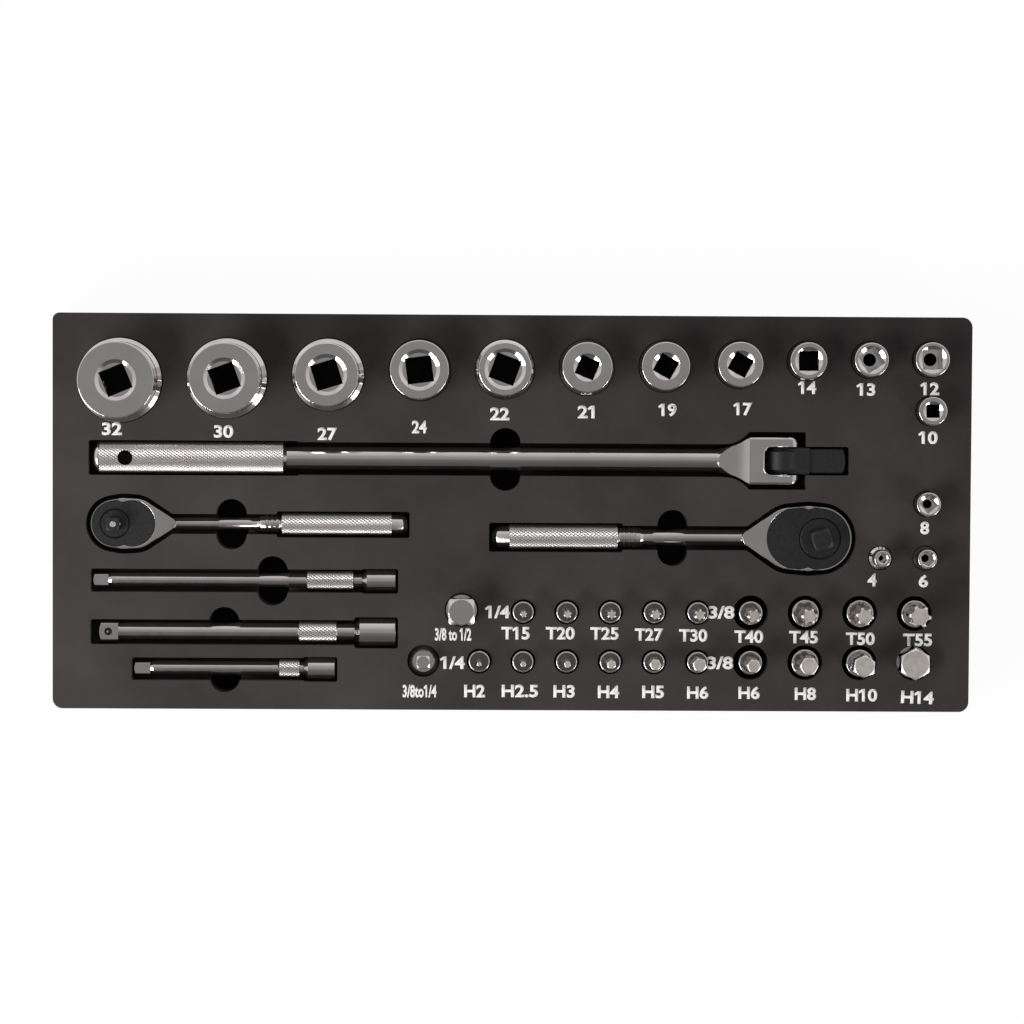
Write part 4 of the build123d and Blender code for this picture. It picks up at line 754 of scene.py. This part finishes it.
class TRAY_OT_ratchets(bpy.types.Operator):
    """Finish both ratchets, with knurled grips and the rings beside them"""

    bl_idname = "tray.ratchets"
    bl_label = "Ratchets"

    def execute(self, context):
        looks = context.scene.tray_looks
        chrome = plated_metal("ratchet_chrome", looks.chrome, 0.09, 0.18, 0.00005)
        black = black_finish(looks)
        rough_plate = knurl_plate("ratchet_knurl_plate", looks)
        bright = plated_metal("button_steel", looks.bit_steel, 0.2, 0.35)
        shadow, _, shadow_shader, _ = new_material("groove_shadow")
        shadow_shader.inputs["Base Color"].default_value = (0.002, 0.002, 0.002, 1.0)
        shadow_shader.inputs["Specular IOR Level"].default_value = 0.05
        body_edge, plate_edge = 0.0003, 0.00015
        for name in RATCHETS:
            finish(name + "_body", chrome)
            soften(name + "_body", body_edge)
            soften(name + "_cover_plate", plate_edge)
            for part in ("_cover_plate", "_drive_gear", "_pawl", "_reverse_lever"):
                finish(name + part, black)
            finish(name + "_detent_set", bright)
            finish(name + "_release_button", bright if name == "ratchet_quarter" else black)
            axis = middle(name + "_release_button")
            low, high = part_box(name + "_body")
            level = (low.z + high.z) / 2
            grip_start, grip_end, radius, rings_from, ring_radius, around, way = HANDLES[name]
            ends = sorted((axis.x + way * grip_start, axis.x + way * grip_end))
            mesh = knurled_sleeve(name + "_grip_knurl", *ends, axis.y, level, radius, looks, around)
            link_piece(name + "_grip_knurl", mesh, name, "chrome", rough_plate)
            groove = self.hub_groove(name, axis)
            link_piece(name + "_groove", groove, name, "black_oxide", shadow)
            first, apart = 0.0024, 0.0025
            for ring in range(3):
                middle_x = axis.x + way * (rings_from + first + apart * ring)
                band = self.grip_ring(f"{name}_ring_{ring}", middle_x, axis.y, level, ring_radius)
                link_piece(f"{name}_ring_{ring}", band, name, "chrome", chrome)
        return {"FINISHED"}

    @staticmethod
    def hub_groove(name, axis):
        """The dark gap between the drive gear's hub and the cover plate, as a thin flat ring."""
        width, sunk, proud, plate_skin = 0.0005, 0.0001, 0.00004, 0.0002
        plate_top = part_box(name + "_cover_plate")[1].z
        hub_radius = max(
            (vertex.co.xy - axis.xy).length
            for vertex in nodes[name + "_drive_gear"].data.vertices if vertex.co.z > plate_top - plate_skin
        )
        outer = hub_radius + width
        section = ((-sunk, hub_radius), (proud, hub_radius), (proud, outer), (-sunk, outer))
        groove = turned_band(name + "_groove", section, 0.0, 0.0)
        upright = Matrix.Rotation(math.radians(-90), 4, "Y")
        groove.transform(Matrix.Translation((axis.x, axis.y, plate_top)) @ upright)
        return groove

    @staticmethod
    def grip_ring(name, middle_x, axis_y, axis_z, handle_radius):
        """A raised ring about the handle, bevelled on both sides."""
        half, bevel = 0.0007, 0.0002
        proud, inner = handle_radius + 0.0004, handle_radius - 0.0003
        section = (
            (-half, inner), (-half, proud - bevel), (-half + bevel, proud),
            (half - bevel, proud), (half, proud - bevel), (half, inner),
        )
        return turned_band(name, [(middle_x + x, radius) for x, radius in section], axis_y, axis_z)


class TRAY_OT_stage(bpy.types.Operator):
    """Set the floor, the lights, the surroundings and the camera"""

    bl_idname = "tray.stage"
    bl_label = "Stage"

    def execute(self, context):
        stage = context.scene.stage_looks
        self.make_floor(stage)
        self.make_surroundings(context.scene)
        self.make_light("key_light", (-1.0, -0.6, 0.97), (1.0, 0.5), stage.key_power)
        self.make_light("fill_light", (1.4, -1.1, 1.0), (0.6, 0.6), stage.fill_power)
        self.make_camera(context.scene, stage)
        context.scene.view_settings.view_transform = "Standard"
        return {"FINISHED"}

    @staticmethod
    def make_camera(scene, stage):
        """A camera over the tray, almost straight down, as the photograph was taken."""
        place, tilt_degrees = (-0.02015, 0.06493, 1.64536), (-2.294, -0.698, 0.311)
        data = bpy.data.cameras.new("camera")
        data.sensor_width = 36.0
        data.lens = stage.focal_length
        data.clip_end = 100.0
        camera = bpy.data.objects.new("camera", data)
        camera.location = place
        camera.rotation_euler = tuple(math.radians(angle) for angle in tilt_degrees)
        scene.collection.objects.link(camera)
        scene.camera = camera

    @staticmethod
    def make_floor(stage):
        """A white floor that shows as white and keeps a faint shadow."""
        half, level, plain_share = stage.floor_half, -0.0002, 0.95
        corners = [(x, y, level) for x, y in ((-half, -half), (half, -half), (half, half), (-half, half))]
        mesh = bpy.data.meshes.new("floor")
        mesh.from_pydata(corners, [], [(0, 1, 2, 3)])
        floor = bpy.data.objects.new("floor", mesh)
        bpy.context.scene.collection.objects.link(floor)
        material = bpy.data.materials.new("white_floor")
        material.use_nodes = True
        tree = material.node_tree
        tree.nodes.clear()
        output = tree.nodes.new("ShaderNodeOutputMaterial")
        mix = tree.nodes.new("ShaderNodeMixShader")
        matt = tree.nodes.new("ShaderNodeBsdfDiffuse")
        matt.inputs["Color"].default_value = (1.0, 1.0, 1.0, 1.0)
        plain = tree.nodes.new("ShaderNodeEmission")
        path = tree.nodes.new("ShaderNodeLightPath")
        seen = worked_out(tree, "MAXIMUM", path.outputs["Is Camera Ray"], path.outputs["Is Glossy Ray"])
        seen = worked_out(tree, "MAXIMUM", seen, path.outputs["Is Transmission Ray"])
        tree.links.new(worked_out(tree, "MULTIPLY", seen, plain_share), mix.inputs["Fac"])
        tree.links.new(matt.outputs["BSDF"], mix.inputs[1])
        tree.links.new(plain.outputs["Emission"], mix.inputs[2])
        tree.links.new(mix.outputs["Shader"], output.inputs["Surface"])
        mesh.materials.append(material)

    @staticmethod
    def make_surroundings(scene):
        """A studio, light on the far side and at both ends, grey overhead and dark on the near side."""
        world = bpy.data.worlds.new("studio")
        scene.world = world
        world.use_nodes = True
        tree = world.node_tree
        background = tree.nodes["Background"]
        place = tree.nodes.new("ShaderNodeTexCoord")
        split = tree.nodes.new("ShaderNodeSeparateXYZ")
        tree.links.new(place.outputs["Generated"], split.inputs["Vector"])
        ramp = tree.nodes.new("ShaderNodeValToRGB")
        # the direction's share towards the far side, and how light the studio is there
        levels = (
            (0.0, 0.11), (0.17, 0.13), (0.34, 0.19), (0.5, 0.34), (0.66, 0.42), (0.83, 0.68), (1.0, 0.9),
        )
        elements = ramp.color_ramp.elements
        elements[0].position, elements[1].position = levels[0][0], levels[-1][0]
        for position, _ in levels[1:-1]:
            elements.new(position)
        for element, (_, level) in zip(elements, levels):
            element.color = (level, level, level, 1.0)
        tree.links.new(spread(tree, split.outputs["Y"], -1.0, 1.0, 0.0, 1.0), ramp.inputs["Fac"])
        sideways = worked_out(tree, "ABSOLUTE", split.outputs["X"])
        ends = spread(tree, sideways, 0.35, 0.8, 0.0, 0.4, "SMOOTHSTEP")
        both = tree.nodes.new("ShaderNodeVectorMath")
        both.operation = "ADD"
        tree.links.new(ramp.outputs["Color"], both.inputs[0])
        tree.links.new(ends, both.inputs[1])
        tree.links.new(both.outputs["Vector"], background.inputs["Color"])

    @staticmethod
    def make_light(name, place, size, power):
        """A soft light that looks at the tray, its size given as width and height."""
        data = bpy.data.lights.new(name, "AREA")
        data.shape = "RECTANGLE"
        data.size, data.size_y = size
        data.energy = power
        light = bpy.data.objects.new(name, data)
        light.location = place
        light.rotation_euler = (-Vector(place)).to_track_quat("-Z", "Y").to_euler()
        light.visible_camera = False
        bpy.context.scene.collection.objects.link(light)


OPERATORS = (
    TRAY_OT_foam, TRAY_OT_size_marks, TRAY_OT_sockets, TRAY_OT_bit_sockets, TRAY_OT_adaptors,
    TRAY_OT_extensions, TRAY_OT_breaker_bar, TRAY_OT_ratchets, TRAY_OT_stage,
)


class TRAY_PT_panel(bpy.types.Panel):
    """Lists the tray's pieces and their settings."""

    bl_label = "Tray"
    bl_idname = "TRAY_PT_panel"
    bl_space_type = "VIEW_3D"
    bl_region_type = "UI"
    bl_category = "Tray"

    def draw(self, context):
        layout = self.layout
        for group in (context.scene.tray_looks, context.scene.stage_looks):
            for name in group.__annotations__:
                layout.prop(group, name)
        for operator in OPERATORS:
            layout.operator(operator.bl_idname)


CLASSES = (TrayLooks, StageLooks, *OPERATORS, TRAY_PT_panel)


def register():
    for item in CLASSES:
        bpy.utils.register_class(item)
    bpy.types.Scene.tray_looks = bpy.props.PointerProperty(type=TrayLooks)
    bpy.types.Scene.stage_looks = bpy.props.PointerProperty(type=StageLooks)


def unregister():
    del bpy.types.Scene.tray_looks
    del bpy.types.Scene.stage_looks
    for item in reversed(CLASSES):
        bpy.utils.unregister_class(item)


def main():
    register()
    bpy.ops.tray.stage()
    bpy.ops.tray.foam()
    bpy.ops.tray.size_marks()
    bpy.ops.tray.sockets()
    bpy.ops.tray.bit_sockets()
    bpy.ops.tray.adaptors()
    bpy.ops.tray.extensions()
    bpy.ops.tray.breaker_bar()
    bpy.ops.tray.ratchets()


if __name__ == "__main__":
    main()
